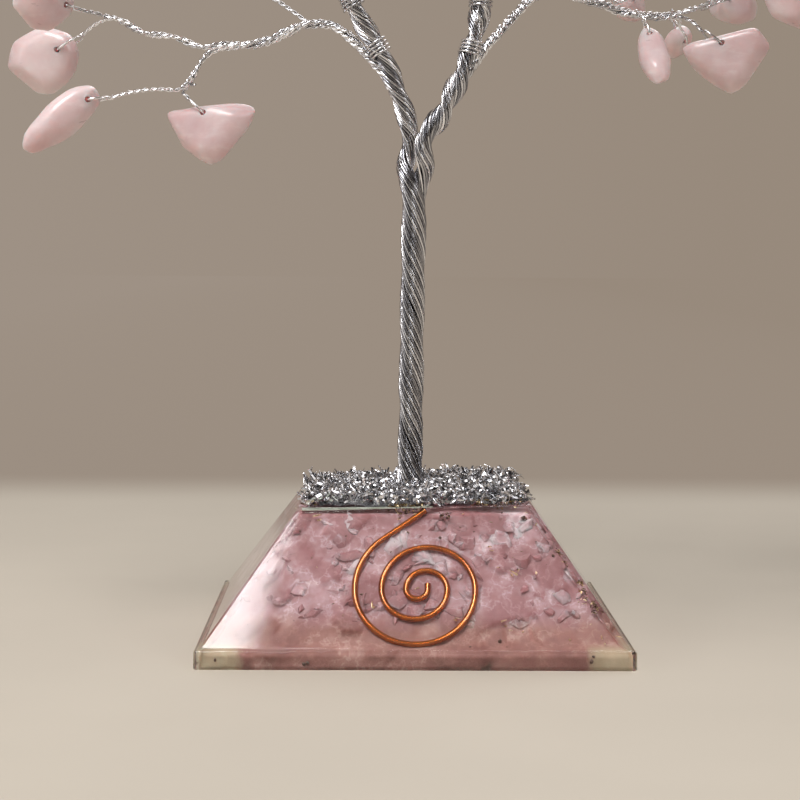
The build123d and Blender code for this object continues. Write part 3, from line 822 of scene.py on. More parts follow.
def scatter_mesh(name, items):
    """One mesh of many small shapes, each with its own tone."""
    vertices, faces, tones, count = [], [], [], 0
    for points, polygons, tone in items:
        vertices.append(points)
        faces.extend([[count + index for index in polygon] for polygon in polygons])
        tones.append(np.full(len(points), tone))
        count += len(points)
    mesh = new_mesh(name, np.concatenate(vertices).tolist(), faces)
    give_tones(mesh, np.concatenate(tones))
    return mesh


def turned_points(draw, points):
    """Points turned at random about their middle."""
    angle = draw.uniform(0, 2 * math.pi)
    return points @ np.array(Matrix.Rotation(angle, 3, Vector(any_way(draw)))).T


def place_in_shell(draw, depth_low, depth_high):
    """A place between two depths under a sloping face, or in the plinth below it, and that face's side."""
    height = SCATTER_FLOOR + (TOP_HEIGHT - CHIP_COVER - SCATTER_FLOOR) * draw.random() ** 1.15
    half = base_half_width(max(height, PLINTH_HEIGHT))
    depth = draw.uniform(depth_low, depth_high)
    side = draw.randrange(4)
    out = half - depth
    clear = CORNER_CLEAR if height < PLINTH_HEIGHT else CHIP_COVER
    along = draw.uniform(-1, 1) * (half - depth_low - clear)
    x, y = ((along, -out), (out, along), (along, out), (-out, along))[side]
    return np.array((x, y, height)), side


def face_normal(side):
    """The direction that a sloping face looks in: front, right, rear or left."""
    return Matrix.Rotation(side * math.pi / 2, 3, "Z") @ Vector((0.0, -FACE_RISE, FACE_RUN)).normalized()


def shard_shape(draw, radius):
    """A splinter of quartz: an uneven many-sided plate with broken edges."""
    sides = draw.randint(4, 6)
    stretch = draw.uniform(1.0, 1.7)
    bevel = draw.uniform(*CHIP_BEVELS)
    shift = np.array((draw.uniform(-0.15, 0.15), draw.uniform(-0.15, 0.15))) * radius
    points = []
    for number in range(sides):
        angle = 2 * math.pi * (number + draw.uniform(-0.35, 0.35)) / sides
        reach = radius * draw.uniform(0.6, 1.0)
        rim = np.array((reach * math.cos(angle) * stretch, reach * math.sin(angle) / stretch))
        points.append((*rim, -CHIP_THICKNESS / 2))
        points.append((*(rim * bevel + shift), CHIP_THICKNESS * draw.uniform(0.3, 0.7)))
    faces = [list(range(1, 2 * sides, 2)), list(reversed(range(0, 2 * sides, 2)))]
    for number in range(sides):
        here, after = 2 * number, 2 * ((number + 1) % sides)
        faces.append([here, after, after + 1, here + 1])
    return np.array(points), faces


def quartz_chips():
    """Splinters of quartz that lie along the faces, in among the crushed quartz."""
    draw = random.Random(SEED)
    items = []
    while len(items) < CHIP_COUNT:
        radius = skewed(draw, CHIP_RADII, 1.6)
        points, faces = shard_shape(draw, radius)
        place, side = place_in_shell(draw, CHIP_COVER + CHIP_THICKNESS, CHIP_COVER + 2.4 * CHIP_THICKNESS)
        lie = face_normal(side).to_track_quat("Z", "Y").to_matrix()
        lie = lie @ Matrix.Rotation(draw.gauss(0, CHIP_TILT), 3, "X")
        lie = lie @ Matrix.Rotation(draw.uniform(0, 2 * math.pi), 3, "Z")
        points = points @ np.array(lie).T + place
        tone = draw.random() ** 1.4
        if points[:, 2].min() < CHIP_LOWEST or points[:, 2].max() > TOP_HEIGHT - FILL_TOP_COVER:
            continue
        if any(max(abs(x), abs(y)) > base_half_width(z) - CHIP_EDGE_COVER for x, y, z in points):
            continue
        items.append((points, faces, tone))
    mesh = scatter_mesh("quartz_chips", items)
    chips = piece("quartz_chips", mesh, cast_quartz_paint("quartz_chips", 0.02), smooth=False)
    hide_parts("rose_quartz_fill")
    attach(chips, ROOT)


def flake_shape(draw, size):
    """A thin crumpled flake."""
    sides = draw.randint(4, 6)
    stretch = draw.uniform(1.0, 2.2)
    rim = []
    for number in range(sides):
        angle = 2 * math.pi * (number + draw.uniform(-0.3, 0.3)) / sides
        reach = size * draw.uniform(0.6, 1.0) / 2
        lift = size * draw.uniform(-0.15, 0.15)
        rim.append((reach * math.cos(angle) * stretch, reach * math.sin(angle) / stretch, lift))
    thickness = 0.05 * size + 0.02 * MM
    points = [(x, y, z + thickness) for x, y, z in rim] + [(x, y, z - thickness) for x, y, z in rim]
    faces = [list(range(sides)), list(reversed(range(sides, 2 * sides)))]
    for number in range(sides):
        after = (number + 1) % sides
        faces.append([number, number + sides, after + sides, after])
    return np.array(points), faces


def under_front(pixel, depth):
    """The place at a depth under the base's front that shows at a pixel of the photograph."""
    right, above, forward = CAMERA_AXES
    across = (pixel[0] - IMAGE_SIDE / 2) / FOCAL_PIXELS
    up = (IMAGE_SIDE / 2 - pixel[1]) / FOCAL_PIXELS
    ray = unit(forward + across * right + up * above)
    faces = (
        (unit(np.array((0.0, -FACE_RISE, FACE_RUN))), np.array((0.0, -PYRAMID_SIDE / 2, PLINTH_HEIGHT))),
        (np.array((0.0, -1.0, 0.0)), np.array((0.0, -BASE_SIDE / 2, 0.0))),
    )
    for normal, on_face in faces:
        hit = CAMERA_PLACE + ray * (normal @ (on_face - CAMERA_PLACE)) / (normal @ ray)
        if hit[2] > PLINTH_HEIGHT:
            break
    level_part = (ray - normal * (normal @ ray)) / RESIN_INDEX
    inside = level_part - normal * math.sqrt(1 - level_part @ level_part)
    place = hit + inside * depth / -(inside @ normal)
    reach = base_half_width(place[2]) - 1.2 * depth
    place[0] = min(max(place[0], -reach), reach)
    return place


def cast_flecks():
    """Brass flecks: some under every face, most under the top's edges, and those in the photograph."""
    draw = random.Random(SEED + 1)
    items = []
    while len(items) < FLECK_COUNT:
        place, _ = place_in_shell(draw, *FLECK_DEPTHS)
        rise = place[2] / TOP_HEIGHT
        right = place[0] / base_half_width(place[2])
        if draw.random() > 0.10 + 0.9 * rise ** 9 + 0.22 * max(right, 0) ** 3:
            continue
        if place[2] > TOP_HEIGHT - 0.5 * MM:
            continue
        size = skewed(draw, FLECK_SIZES, 2)
        points, faces = flake_shape(draw, size)
        items.append((turned_points(draw, points) + place, faces, draw.random()))
    for x, y, size in FLECK_PIXELS:
        points, faces = flake_shape(draw, size * MM)
        items.append((turned_points(draw, points) + under_front((x, y), SPOT_DEPTH), faces, 1.0))
    for x0, y0, x1, y1, count in GRAIN_CLUSTERS:
        for _ in range(count):
            pixel = draw.uniform(x0, x1), draw.triangular(y0, y1, y0)
            points, faces = flake_shape(draw, draw.uniform(*GRAIN_SIZES) * MM)
            place = under_front(pixel, draw.uniform(*GRAIN_DEPTHS) * MM)
            items.append((turned_points(draw, points) + place, faces, draw.random() ** 2))
    flecks = piece("brass_flecks", scatter_mesh("brass_flecks", items), brass_paint(), smooth=False)
    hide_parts("brass_flakes")
    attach(flecks, ROOT)


def cast_specks():
    """Dark specks under every face, and those in the photograph."""
    draw = random.Random(SEED + 2)
    items = []
    for _ in range(SPECK_COUNT):
        place, _ = place_in_shell(draw, *SPECK_DEPTHS)
        points, faces = chip_shape(draw, draw.uniform(*SPECK_SIZES) / 2)
        items.append((turned_points(draw, points) + place, faces, 0.0))
    for x, y, size in SPECK_PIXELS:
        points, faces = chip_shape(draw, size * MM / 2)
        place = under_front((x, y), SPOT_DEPTH + size * MM / 2)
        items.append((turned_points(draw, points) + place, faces, 0.0))
    specks = piece("dark_specks", scatter_mesh("dark_specks", items), speck_paint())
    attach(specks, ROOT)


def inside_bed(x, y):
    """Whether a place on the top lies within the bed's outline."""
    for (ax, ay), (bx, by) in zip(BED_CORNERS, BED_CORNERS[1:] + BED_CORNERS[:1]):
        if (bx - ax) * (y - ay) - (by - ay) * (x - ax) < 0:
            return False
    return True


def bed_mound():
    """Glued dust under the shavings, uneven on top."""
    low, high = Vector(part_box("shavings_bed")[0]), Vector(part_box("shavings_bed")[1])
    shell = bmesh.new()
    loops = []
    for share, lift in ((MOUND_FOOT_SHARE, 0.0), (MOUND_ROOF_SHARE, MOUND_LIFT_SHARE * BED_HEIGHT)):
        loops.append([shell.verts.new((x * share, y * share, top_at(x) + lift)) for x, y in BED_CORNERS])
    close_loops(shell, loops)
    mound = piece("shavings_dust", mesh_of(shell, "shavings_dust"), bed_paint())
    remesh = mound.modifiers.new("grain", "REMESH")
    remesh.mode = "VOXEL"
    remesh.voxel_size = (high.x - low.x) / MOUND_STEPS
    grained = evaluated_meshes([mound])[0]
    mound.modifiers.clear()
    mound.data = grained
    for vertex in grained.vertices:
        if vertex.co.z > top_at(vertex.co.x) + MOUND_STILL:
            vertex.co += MOUND_GRAIN * Vector(noise.noise_vector(vertex.co * MOUND_GRAIN_RATE))
    grained.polygons.foreach_set("use_smooth", [True] * len(grained.polygons))
    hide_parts("shavings_bed")
    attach(mound, ROOT)


def sheen_strip_paint():
    """Pale and a little green, under a clear coat: painted sheen of the top face."""
    # Its pale green colour is painted sheen of the top face
    paint = Paint("glue", IOR=1.48, Coat_Weight=0.5)
    cloud = paint.noise(600.0, 4.0, 0.6)
    paint.to("Base Color", paint.ramp(cloud, (0.3, (0.44, 0.48, 0.38)), (0.7, (0.68, 0.72, 0.62))))
    paint.to("Roughness", paint.levels(cloud, 0.15, 0.40))
    return paint.material


def painted_sheen_strip():
    """A thin strip along the front edge of the top, wide at the left, coloured as painted sheen of the top
    face.
    """
    points, faces = [], []
    places = np.linspace(*SHEEN_STRIP_X, SHEEN_STRIP_STEPS)
    front = SHEEN_STRIP_FRONT - TOP_SIDE / 2
    for number, x in enumerate(places):
        top = top_at(x)
        depth = SHEEN_STRIP_DEPTHS[0] + (SHEEN_STRIP_DEPTHS[1] - SHEEN_STRIP_DEPTHS[0]) * number / (SHEEN_STRIP_STEPS - 1)
        depth += 0.3 * MM * noise.noise(Vector((x * 400.0, 0, 0)))
        lift = SHEEN_STRIP_THICKNESS * (1.0 + 0.5 * noise.noise(Vector((x * 300.0, 5.0, 0))))
        rear = front + depth
        points += [(x, front, top), (x, rear, top), (x, rear, top + lift), (x, front, top + lift)]
        if number:
            for side in range(4):
                here, after = 4 * number - 4 + side, 4 * number - 4 + (side + 1) % 4
                faces.append([here, after, after + 4, here + 4])
    faces += [[3, 2, 1, 0], [len(points) - 4 + side for side in range(4)]]
    # The strip carries the painted sheen of the top face
    glue = piece("painted_sheen_strip", new_mesh("painted_sheen_strip", points, faces), sheen_strip_paint(), smooth=False)
    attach(glue, ROOT)


def shaving(draw):
    """One curled strip of metal, about its own middle."""
    length = draw.uniform(*SHAVING_LENGTHS)
    width = draw.uniform(*SHAVING_WIDTHS)
    curl = draw.uniform(0.8, 6.5)
    climb = draw.uniform(-0.25, 0.25) * length
    points = []
    for step in range(SHAVING_STEPS):
        t = step / (SHAVING_STEPS - 1) - 0.5
        angle = curl * t
        radius = length / curl
        middle = np.array((radius * math.sin(angle), radius * (1 - math.cos(angle)), climb * t))
        across = np.array((0.0, 0.0, width / 2))
        out = np.array((math.sin(angle), -math.cos(angle), 0.0)) * SHAVING_THICKNESS / 2
        taper = 1.0 - 1.6 * abs(t) ** 3
        wide = across * taper
        for side in (out - wide, out + wide, wide - out, -wide - out):
            points.append(middle + side)
    last = 4 * SHAVING_STEPS
    faces = [[0, 1, 2, 3], [last - 1, last - 2, last - 3, last - 4]]
    for step in range(SHAVING_STEPS - 1):
        for side in range(4):
            after = (side + 1) % 4
            faces.append([4 * step + side, 4 * step + 4 + side, 4 * step + 4 + after, 4 * step + after])
    points = np.array(points)
    return points - points.mean(axis=0), faces


def shavings_pile():
    """Curled strips heaped on the bed, lower towards its edges."""
    draw = random.Random(SEED + 3)
    items = []
    while len(items) < SHAVING_COUNT:
        x, y = draw.uniform(-0.5, 0.5) * TOP_SIDE, draw.uniform(-0.5, 0.5) * TOP_SIDE
        if not inside_bed(x, y) or math.hypot(x, y) < TRUNK_CLEAR:
            continue
        points, faces = shaving(draw)
        points = turned_points(draw, points)
        edge = min(TOP_SIDE / 2 - abs(x), TOP_SIDE / 2 - abs(y))
        mound = PILE_RISE * smooth_step(0, PILE_EDGE, edge)
        mound += PILE_UNEVENNESS * noise.noise(Vector((x, y, 0)) * PILE_RATE)
        top = top_at(x)
        place = np.array((x, y, top + PILE_FOOT + mound + draw.uniform(0, PILE_SPREAD) * MM))
        lowest = (points[:, 2] + place[2]).min()
        place[2] += max(0.0, top + PILE_LOWEST - lowest)
        items.append((points + place, faces, draw.random()))
    pile = piece("shaving_strips", scatter_mesh("shaving_strips", items), shavings_paint(), smooth=False)
    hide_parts("shaving_curls")
    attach(pile, ROOT)


def bundle_axis(side):
    """A bundle's middle line: up the trunk, past the crossing at the fork, and along its limb."""
    front = -1.0 if side == "right" else 1.0
    limb_points = [FORK + np.array(shares) * LIMB_SIZE for shares in LIMB_POINT_SHARES[side]]
    foot = np.array((TRUNK_LEAN, 0.0, TOP_HEIGHT + 0.3 * MM))
    waist = np.array((0.0, 0.0, CROSSING_HEIGHT - CROSSING_RUN))
    crossing = np.array((0.25 * limb_points[0][0], front * CROSSING_OFFSET, CROSSING_HEIGHT))
    return evenly(softened(rounded_line([foot, waist, crossing, *limb_points], WIRE_STEP)), WIRE_STEP)


def section_places(side):
    """Where a bundle's strands lie: on a half moon in the trunk, on a lobed ring in the limb."""
    total = MOON_STRANDS + FLAT_STRANDS
    moon, ring = [], []
    for number in range(total):
        angle = 2 * math.pi * (number + 0.5 - MOON_STRANDS / 2) / total
        reach = LIMB_CIRCLE * (1 + LIMB_LOBES[side] * math.cos(2 * angle))
        ring.append((reach * math.cos(angle), reach * math.sin(angle)))
        if number < MOON_STRANDS:
            angle = math.pi * ((number + 0.5) / MOON_STRANDS - 0.5)
            reach = TRUNK_CIRCLE * (MOON_BULGE[0] - MOON_BULGE[1] * math.sin(angle) ** 4)
            moon.append((MOON_SHIFT + reach * math.cos(angle), reach * math.sin(angle)))
        else:
            share = 1 - 2 * (number - MOON_STRANDS + 0.5) / FLAT_STRANDS
            moon.append((FLAT_OFFSET, 0.85 * TRUNK_CIRCLE * share))
    return np.array(moon), np.array(ring)


def softened(line, rounds=60):
    """A line with its kinks eased, its ends kept."""
    line = line.copy()
    for _ in range(rounds):
        line[1:-1] = 0.5 * line[1:-1] + 0.25 * (line[:-2] + line[2:])
    return line


def trunk_bundle(side):
    """All strands of one bundle, from the foot of the trunk to the end of its limb."""
    line = bundle_axis(side)
    along, height = arc_lengths(line), line[:, 2]
    _, normals, binormals = carried_frames(line)
    above = smooth_step(CROSSING_HEIGHT - CROSSING_BELOW, CROSSING_HEIGHT + CROSSING_ABOVE, height)
    turns = np.cumsum(np.diff(along, prepend=0.0) * ((1 - above) / TRUNK_PITCH + above / LIMB_PITCHES[side]))
    at_crossing = turns[int(np.argmax(height > CROSSING_HEIGHT))]
    facing = -math.pi / 2 if side == "right" else math.pi / 2
    angle = facing - math.atan2(normals[0][1], normals[0][0]) - 2 * math.pi * (turns - at_crossing)
    out = np.cos(angle)[:, None] * normals + np.sin(angle)[:, None] * binormals
    beside = np.cos(angle)[:, None] * binormals - np.sin(angle)[:, None] * normals
    bulge = EYE_SPREAD * np.exp(-(((height - EYE_HEIGHT) / EYE_REACH) ** 2))
    splay = 1 + FOOT_SPLAY * (1 - smooth_step(0, FOOT_SPLAY_HEIGHT, height - TOP_HEIGHT))
    tip = TIP_SHARE + (1 - TIP_SHARE) * smooth_step(0, TIP_RUN, along[-1] - along)
    moon, ring = section_places(side)
    wires = WireMesh(TRUNK_SHADE_PAINT_DARKEST)
    for number in range(len(moon)):
        key = number + (100 if side == "left" else 0)
        uneven = [noise.noise(Vector((s * WANDER_RATE * 0.5, key * 3.9, 8.1))) for s in along]
        scale = splay * tip * (1 + STRAND_UNEVENNESS * np.array(uneven))
        across = (1 - above) * (moon[number][0] + bulge * (number < MOON_STRANDS)) + above * ring[number][0]
        sideways = (1 - above) * moon[number][1] + above * ring[number][1]
        strand = line + (scale * across)[:, None] * out + (scale * sideways)[:, None] * beside
        wires.add(wandering(strand, STRAND_WANDER, key), BUNDLE_STRAND_RADIUS, STRAND_SIDES, LAY_DEPTH)
    return wires, line


def tie_collar(wires, line, root):
    """A few turns of wire that tie a branch to its limb."""
    lengths = arc_lengths(line)
    middle = lengths[int(np.argmin(np.linalg.norm(line - root, axis=1)))]
    half = COLLAR_TURNS * COLLAR_PITCH / 2
    places = np.linspace(middle - 2 * half, middle, round(COLLAR_TURNS * COLLAR_STEPS))
    under = np.stack([np.interp(places, lengths, line[:, axis]) for axis in range(3)], axis=1)
    wires.add(twisted(under, COLLAR_CIRCLE, -COLLAR_PITCH, 0.0), STRAND_RADIUS, TWIG_SIDES)


def square_to(axis, vector):
    return unit(vector - axis * (vector @ axis))


def stems_to_knots(name, root):
    """The middle line from the root to each knot of a branch, as points."""
    if name in LOWER_STEMS:
        lines = {"root": [root]}
        for knot, ((before, way), place) in LOWER_STEMS[name].items():
            lines[knot] = lines[before] + [FORK + np.array(shares) * CROWN_SIZE for shares in (way, place)]
        return lines
    bearing = math.radians(UPPER_BEARINGS[name])
    reach = DOME_KNOT_SHARE * np.array((
        math.cos(bearing) * math.cos(DOME_KNOT_ELEVATION),
        math.sin(bearing) * math.cos(DOME_KNOT_ELEVATION),
        math.sin(DOME_KNOT_ELEVATION),
    ))
    end = FORK + reach * DOME_SIZE + DOME_LIFT * UP
    sag = square_to(unit(end - root), UP) * np.linalg.norm(end - root) * BOW_SHARE
    return {"knot": [root, (root + end) / 2 - sag, end]}


def eye_line(crotch, along, hole, hole_axis, half_eye):
    """The wire from one leg of the eye, through the stone, to the other leg."""
    shoulder = crotch + along * EYE_SHOULDER
    side = hole_axis * half_eye
    beyond = along * EYE_BEYOND
    corners = [crotch + hole_axis * STRAND_RADIUS, shoulder + side, hole + side + beyond]
    corners += [hole - side + beyond, shoulder - side, crotch - hole_axis * STRAND_RADIUS]
    return rounded_line(corners, TWIG_STEP)


def branch_wires(name, limb_line, material, joints):
    """All wires of a branch: each stone's wire comes out of the limb, twisted with its own return."""
    draw = random.Random(f"{SEED} {name}")
    bend = joints[f"{name}_branch_bend"]
    root = np.array(bend["pos_m"])
    nearest = int(np.argmin(np.linalg.norm(limb_line - root, axis=1)))
    lengths = arc_lengths(limb_line)
    outward = unit(root - limb_line[nearest])
    entry = []
    for back, off in ((LIMB_RUN, LIMB_RUN_OFFSET), (LIMB_LEAVE, LIMB_LEAVE_OFFSET)):
        behind = int(np.argmin(abs(lengths - lengths[nearest] + back)))
        entry.append(limb_line[behind] + outward * off)
    knots = stems_to_knots(name, root)
    wires = WireMesh(TWIG_SHADE_PAINT_DARKEST)
    count = sum(1 for joint in joints if joint.startswith(f"{name}_stone_"))
    for number in range(1, count + 1):
        turn = joints[f"{name}_stone_{number}_turn"]
        hole, hole_axis = np.array(turn["pos_m"]), np.array(turn["axis"])
        knot = LOWER_STONE_KNOTS[name][number - 1] if name in LOWER_STEMS else "knot"
        stem = entry + knots[knot]
        along = unit(hole - stem[-1])
        crotch = hole - along * EYE_LENGTH
        lift = square_to(unit(crotch - stem[-1]), UP) * np.linalg.norm(crotch - stem[-1]) * BOW_SHARE
        middle = (stem[-1] + crotch) / 2 + lift
        line = rounded_line(stem + [middle, crotch], TWIG_STEP)
        lengths = arc_lengths(line)
        released = lengths[-1] - np.linalg.norm(crotch - stem[-1])
        held = 1 - smooth_step(released - PAIR_RELEASE / 2, released + PAIR_RELEASE, lengths)
        line = twisted(line, STEM_OFFSET * held, STEM_PITCH, 2 * math.pi * number / count)
        loose = TWIG_WANDER * smooth_step(0, TWIG_WANDER_RUN, lengths[-1] - lengths)
        line = wandering(line, loose[:, None], number + 40)
        lengths = arc_lengths(line)
        _, normals, binormals = carried_frames(line)
        end_phase = math.atan2(hole_axis @ binormals[-1], hole_axis @ normals[-1])
        phase = end_phase + 2 * math.pi * lengths[-1] / PAIR_PITCH
        opening = LOOP_OPENING * draw.random() * np.exp(-(((lengths - released) / LOOP_REACH) ** 2))
        there = twisted(line, STRAND_RADIUS + opening, PAIR_PITCH, phase)
        back = twisted(line, STRAND_RADIUS + opening, PAIR_PITCH, phase + math.pi)
        half_eye = stone_half_thickness(f"{name}_stone_{number}", hole_axis) + EYE_GAP
        eye = eye_line(crotch, along, hole, hole_axis, half_eye)
        whole = softened(np.concatenate((there, eye[1:-1], back[::-1])), 4)
        wires.add(whole, STRAND_RADIUS, TWIG_SIDES)
        start = line[int(np.argmin(abs(lengths - released)))]
        wires.add(loose_end(draw, start, along), STRAND_RADIUS, TWIG_SIDES)
    made = wires.build(f"{name}_wires", material)
    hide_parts(f"{name}_branch")
    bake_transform(made)


def loose_end(draw, start, along):
    """A cut wire end that stands off a knot."""
    away = square_to(along, np.array(any_way(draw)))
    length = draw.uniform(*LOOSE_END_LENGTHS)
    corner = start + (0.7 * along + 0.35 * away) * length * 0.6
    return rounded_line([start, corner, corner + (0.5 * along + away) * length * 0.35], TWIG_STEP)


def stone_half_thickness(node, axis):
    """Half a stone's size along its hole."""
    points = np.array([vertex.co for vertex in frame["nodes"][node].data.vertices])
    across = points @ axis
    return (across.max() - across.min()) / 2


def smoothed(points, edges, rounds):
    """Edges worn round."""
    first, second = np.concatenate((edges, edges[:, ::-1])).T
    count = len(points)
    degree = np.bincount(first, minlength=count)
    for _ in range(rounds):
        sums = [np.bincount(first, points[second, axis], count) for axis in range(3)]
        mean = np.stack([total / degree for total in sums], axis=1)
        points = points + STONE_PULL * (mean - points)
    return points


def tumbled(points, edges, draw, key):
    """A stone's points after tumbling: pillowy, with a few worn flats, and as large as before."""
    low, high = points.min(axis=0), points.max(axis=0)
    points = smoothed(points, edges, STONE_SMOOTHINGS)
    for _ in range(STONE_CUTS):
        normal = unit(np.array(any_way(draw)))
        reach = points @ normal
        flat = reach.max() - draw.uniform(*STONE_CUT_DEPTHS) * (reach.max() - reach.min())
        points = points - STONE_CUT_SHARE * np.maximum(reach - flat, 0)[:, None] * normal
    moves = [noise.noise_vector(Vector(point) * STONE_NOISE_RATE + Vector((key, 0, 0))) for point in points]
    points = smoothed(points + STONE_UNEVENNESS * np.array(moves), edges, STONE_LAST_SMOOTHINGS)
    now_low, now_high = points.min(axis=0), points.max(axis=0)
    return (points - (now_low + now_high) / 2) * (high - low) / (now_high - now_low) + (low + high) / 2


def drill(place, axis):
    """A rod as wide as the drilled hole."""
    rod = bmesh.new()
    bmesh.ops.create_cone(
        rod, cap_ends=True, segments=HOLE_SIDES, radius1=HOLE_RADIUS, radius2=HOLE_RADIUS, depth=HOLE_LENGTH
    )
    turn = Vector(axis).to_track_quat("Z", "Y").to_matrix().to_4x4()
    bmesh.ops.transform(rod, matrix=Matrix.Translation(place) @ turn, verts=rod.verts[:])
    made = bpy.data.objects.new("drill", mesh_of(rod, "drill"))
    bpy.context.scene.collection.objects.link(made)
    return made


def evaluated_meshes(objects):
    """New meshes with the modifiers applied."""
    bpy.context.view_layer.update()
    depsgraph = bpy.context.evaluated_depsgraph_get()
    return [bpy.data.meshes.new_from_object(made.evaluated_get(depsgraph)) for made in objects]


def tumbled_stones(stone_nodes, material, joints):
    """Each stone from its own solid: filled, worn round and drilled again."""
    stones = []
    for node in stone_nodes:
        hull = bmesh.new()
        hull.from_mesh(frame["nodes"][node].data)
        shell = bmesh.ops.convex_hull(hull, input=hull.verts[:])
        inside = shell["geom_interior"] + shell["geom_unused"]
        inner = [part for part in inside if isinstance(part, bmesh.types.BMVert)]
        bmesh.ops.delete(hull, geom=inner, context="VERTS")
        kept = {face for face in shell["geom"] if isinstance(face, bmesh.types.BMFace)}
        bmesh.ops.delete(hull, geom=[face for face in hull.faces if face not in kept], context="FACES")
        stones.append(piece(f"{node}_gem", mesh_of(hull, node), material))
        remesh = stones[-1].modifiers.new("voxels", "REMESH")
        remesh.mode = "VOXEL"
        remesh.voxel_size = STONE_VOXEL
    drills = []
    for number, (node, stone, mesh) in enumerate(zip(stone_nodes, stones, evaluated_meshes(stones))):
        stone.modifiers.clear()
        stone.data = mesh
        points = np.array([vertex.co for vertex in mesh.vertices])
        edges = np.array([edge.vertices for edge in mesh.edges])
        points = tumbled(points, edges, random.Random(f"{SEED} {node}"), number)
        mesh.vertices.foreach_set("co", points.astype(np.float32).ravel())
        mesh.update()
        turn = joints[f"{node}_turn"]
        drills.append(drill(Vector(turn["pos_m"]), turn["axis"]))
        hole = stone.modifiers.new("hole", "BOOLEAN")
        hole.operation = "DIFFERENCE"
        hole.solver = "EXACT"
        hole.object = drills[-1]
    for node, stone, mesh in zip(stone_nodes, stones, evaluated_meshes(stones)):
        stone.modifiers.clear()
        stone.data = mesh
        mesh.polygons.foreach_set("use_smooth", [True] * len(mesh.polygons))
        mesh.set_sharp_from_angle(angle=STONE_SHARP)
        mesh.update()
        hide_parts(node)
        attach(stone, node)
    for made in drills:
        bpy.data.objects.remove(made)


def repaint(node, material):
    """A CAD node that keeps its shape gets a finished material."""
    for slot in frame["nodes"][node].material_slots:
        slot.material = material


def wall_with_painted_shade(tree, across, shift):
    """The backdrop's colour, a little darker to the right: painted shade where the light falls off."""
    return tree.mixed(tree.levels(across, 0.0, 1.0, *shift), WALL_LIT_LEFT, WALL_SHADED_RIGHT)


def floor_and_wall():
    """A pale table that fades into the backdrop behind the object."""
    corners = [(x * FLOOR_HALF, y * FLOOR_HALF, 0) for x, y in ((-1, -1), (1, -1), (1, 1), (-1, 1))]
    mesh = new_mesh("table", corners, [[0, 1, 2, 3]])
    paint = Paint("table", Roughness=0.75, Specular_IOR_Level=0.2)
    cloud = paint.noise(7.0, 4.0)
    grain = paint.noise(600.0, 3.0)
    darker = tuple(0.90 * channel for channel in TABLE_COLOUR[:3])
    paint.to("Base Color", paint.ramp(cloud, (0.3, darker), (0.7, TABLE_COLOUR)))
    paint.bump(grain, 0.05, 0.2 * MM)
    split = paint.split("Object")
    wall = paint.node("Emission", Color=wall_with_painted_shade(paint, split["X"], WALL_SHADE_SPAN_TABLE))
    fade = paint.node("MapRange", Value=split["Y"], From_Min=TABLE_FADE[0], From_Max=TABLE_FADE[1])
    fade.interpolation_type = "SMOOTHSTEP"
    seen = paint.maths("MULTIPLY", fade.outputs["Result"], seen_directly(paint))
    paint.blended(seen, paint.shader.outputs["BSDF"], wall.outputs["Emission"])
    piece("table", mesh, paint.material)


def seen_directly(tree):
    """1 for what the camera sees, also mirrored or through the resin, and 0 for light on the object."""
    path = tree.node("LightPath").outputs
    seen = tree.maths("MAXIMUM", path["Is Camera Ray"], path["Is Glossy Ray"])
    return tree.maths("MAXIMUM", seen, path["Is Transmission Ray"])


def studio():
    """A softbox at the upper left, whose edge mirrors in the front face, and weak light all round."""
    scene = bpy.context.scene
    scene.view_settings.view_transform = "Standard"
    world = bpy.data.worlds.new("studio")
    scene.world = world
    tree = NodeTree(world)
    light = tree.nodes["Background"]
    light.inputs["Color"].default_value = WORLD_COLOUR
    light.inputs["Strength"].default_value = WORLD_LEVEL
    split = tree.split("Generated")
    wall = tree.node("Background", Color=wall_with_painted_shade(tree, split["X"], WALL_SHADE_SPAN_WORLD))
    tree.blended(seen_directly(tree), light.outputs["Background"], wall.outputs["Background"])
    area_light("softbox", SOFTBOX_PLACE, SOFTBOX_SIZE, SOFTBOX_POWER, Vector((0, 0, -1)), SOFTBOX_TURN)
    for name, place, size, power in SOFT_LAMPS:
        area_light(name, place, size, power, Vector((0, 0, 0.06)) - Vector(place))


def dark_flag():
    """A dark cloth on the camera's side, which only the metal mirrors, as in a studio."""
    corners = [(x * FLAG_HALF, FLAG_PLACE, z * FLAG_HEIGHT) for x, z in ((-1, 0), (1, 0), (1, 1), (-1, 1))]
    mesh = new_mesh("flag", corners, [[0, 1, 2, 3]])
    paint = Paint("flag_cloth", Roughness=0.9)
    cloth = paint.ramp(paint.noise(40.0), (0.3, (0.03, 0.03, 0.03)), (0.7, (0.08, 0.075, 0.07)))
    paint.to("Base Color", cloth)
    flag = piece("flag", mesh, paint.material)
    flag.visible_camera = flag.visible_diffuse = flag.visible_transmission = flag.visible_shadow = False


def area_light(name, place, size, power, towards, turn=0.0):
    """A flat lamp that shines in one direction, turned about it."""
    lamp = bpy.data.lights.new(name, "AREA")
    lamp.shape = "RECTANGLE"
    lamp.size, lamp.size_y = size
    lamp.energy = power
    made = bpy.data.objects.new(name, lamp)
    made.location = place
    made.rotation_mode = "QUATERNION"
    made.rotation_quaternion = towards.to_track_quat("-Z", "Y") @ Quaternion((0, 0, 1), turn)
    bpy.context.scene.collection.objects.link(made)


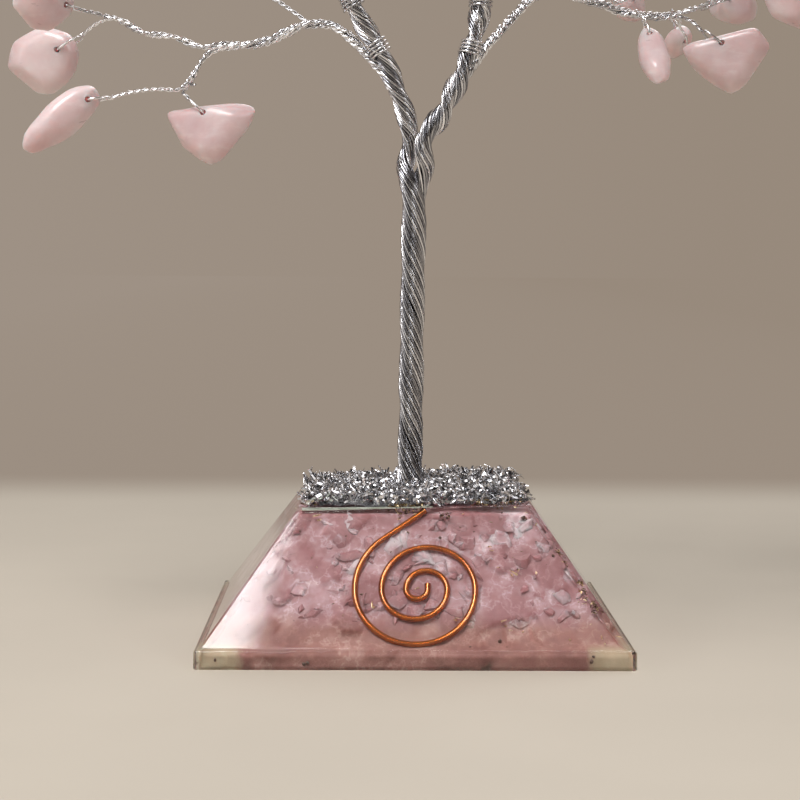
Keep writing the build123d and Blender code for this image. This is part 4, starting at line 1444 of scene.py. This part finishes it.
def camera_axes():
    """Right, up and forward of the photograph's camera."""
    level = math.cos(CAMERA_PITCH)
    forward = math.sin(CAMERA_YAW) * level, math.cos(CAMERA_YAW) * level, math.sin(CAMERA_PITCH)
    right = np.array((math.cos(CAMERA_YAW), -math.sin(CAMERA_YAW), 0.0))
    above = np.cross(right, forward)
    turned_right = math.cos(CAMERA_ROLL) * right + math.sin(CAMERA_ROLL) * above
    turned_above = math.cos(CAMERA_ROLL) * above - math.sin(CAMERA_ROLL) * right
    return turned_right, turned_above, np.array(forward)


def photo_camera():
    """The camera where the photograph was taken from."""
    lens = bpy.data.cameras.new("camera")
    lens.sensor_width = SENSOR_WIDTH
    lens.lens = FOCAL_PIXELS * SENSOR_WIDTH / IMAGE_SIDE
    lens.clip_start, lens.clip_end = 0.01, 50.0
    camera = bpy.data.objects.new("camera", lens)
    right, above, forward = CAMERA_AXES
    turn = Matrix((right, above, -forward)).transposed().to_4x4()
    camera.matrix_world = Matrix.Translation(CAMERA_PLACE) @ turn
    bpy.context.scene.collection.objects.link(camera)
    bpy.context.scene.camera = camera


CAMERA_AXES = camera_axes()
photo_camera()
studio()
floor_and_wall()
dark_flag()

resin_body()
quartz_mass()
quartz_chips()
cast_flecks()
cast_specks()
repaint("copper_spiral", copper_paint())
bed_mound()
shavings_pile()
painted_sheen_strip()

silver = silver_paint()
repaint("root_wires", silver)
joint_table = {joint["name"]: joint for joint in frame["joints"]}
for limb_side, stood_for in (("right", ("trunk", "right_limb")), ("left", ("fork_knot", "left_limb"))):
    bundle_wires, bundle_line = trunk_bundle(limb_side)
    for branch_name in [*LOWER_STEMS, *UPPER_BEARINGS]:
        if limb_side in branch_name:
            branch_root = np.array(joint_table[f"{branch_name}_branch_bend"]["pos_m"])
            tie_collar(bundle_wires, bundle_line, branch_root)
            branch_wires(branch_name, bundle_line, silver, joint_table)
    bundle = bundle_wires.build(f"{limb_side}_bundle", silver)
    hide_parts(*stood_for)
    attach(bundle, ROOT)
stone_nodes = sorted(node for node in frame["nodes"] if "_stone_" in node)
tumbled_stones(stone_nodes, rose_quartz_paint(), joint_table)
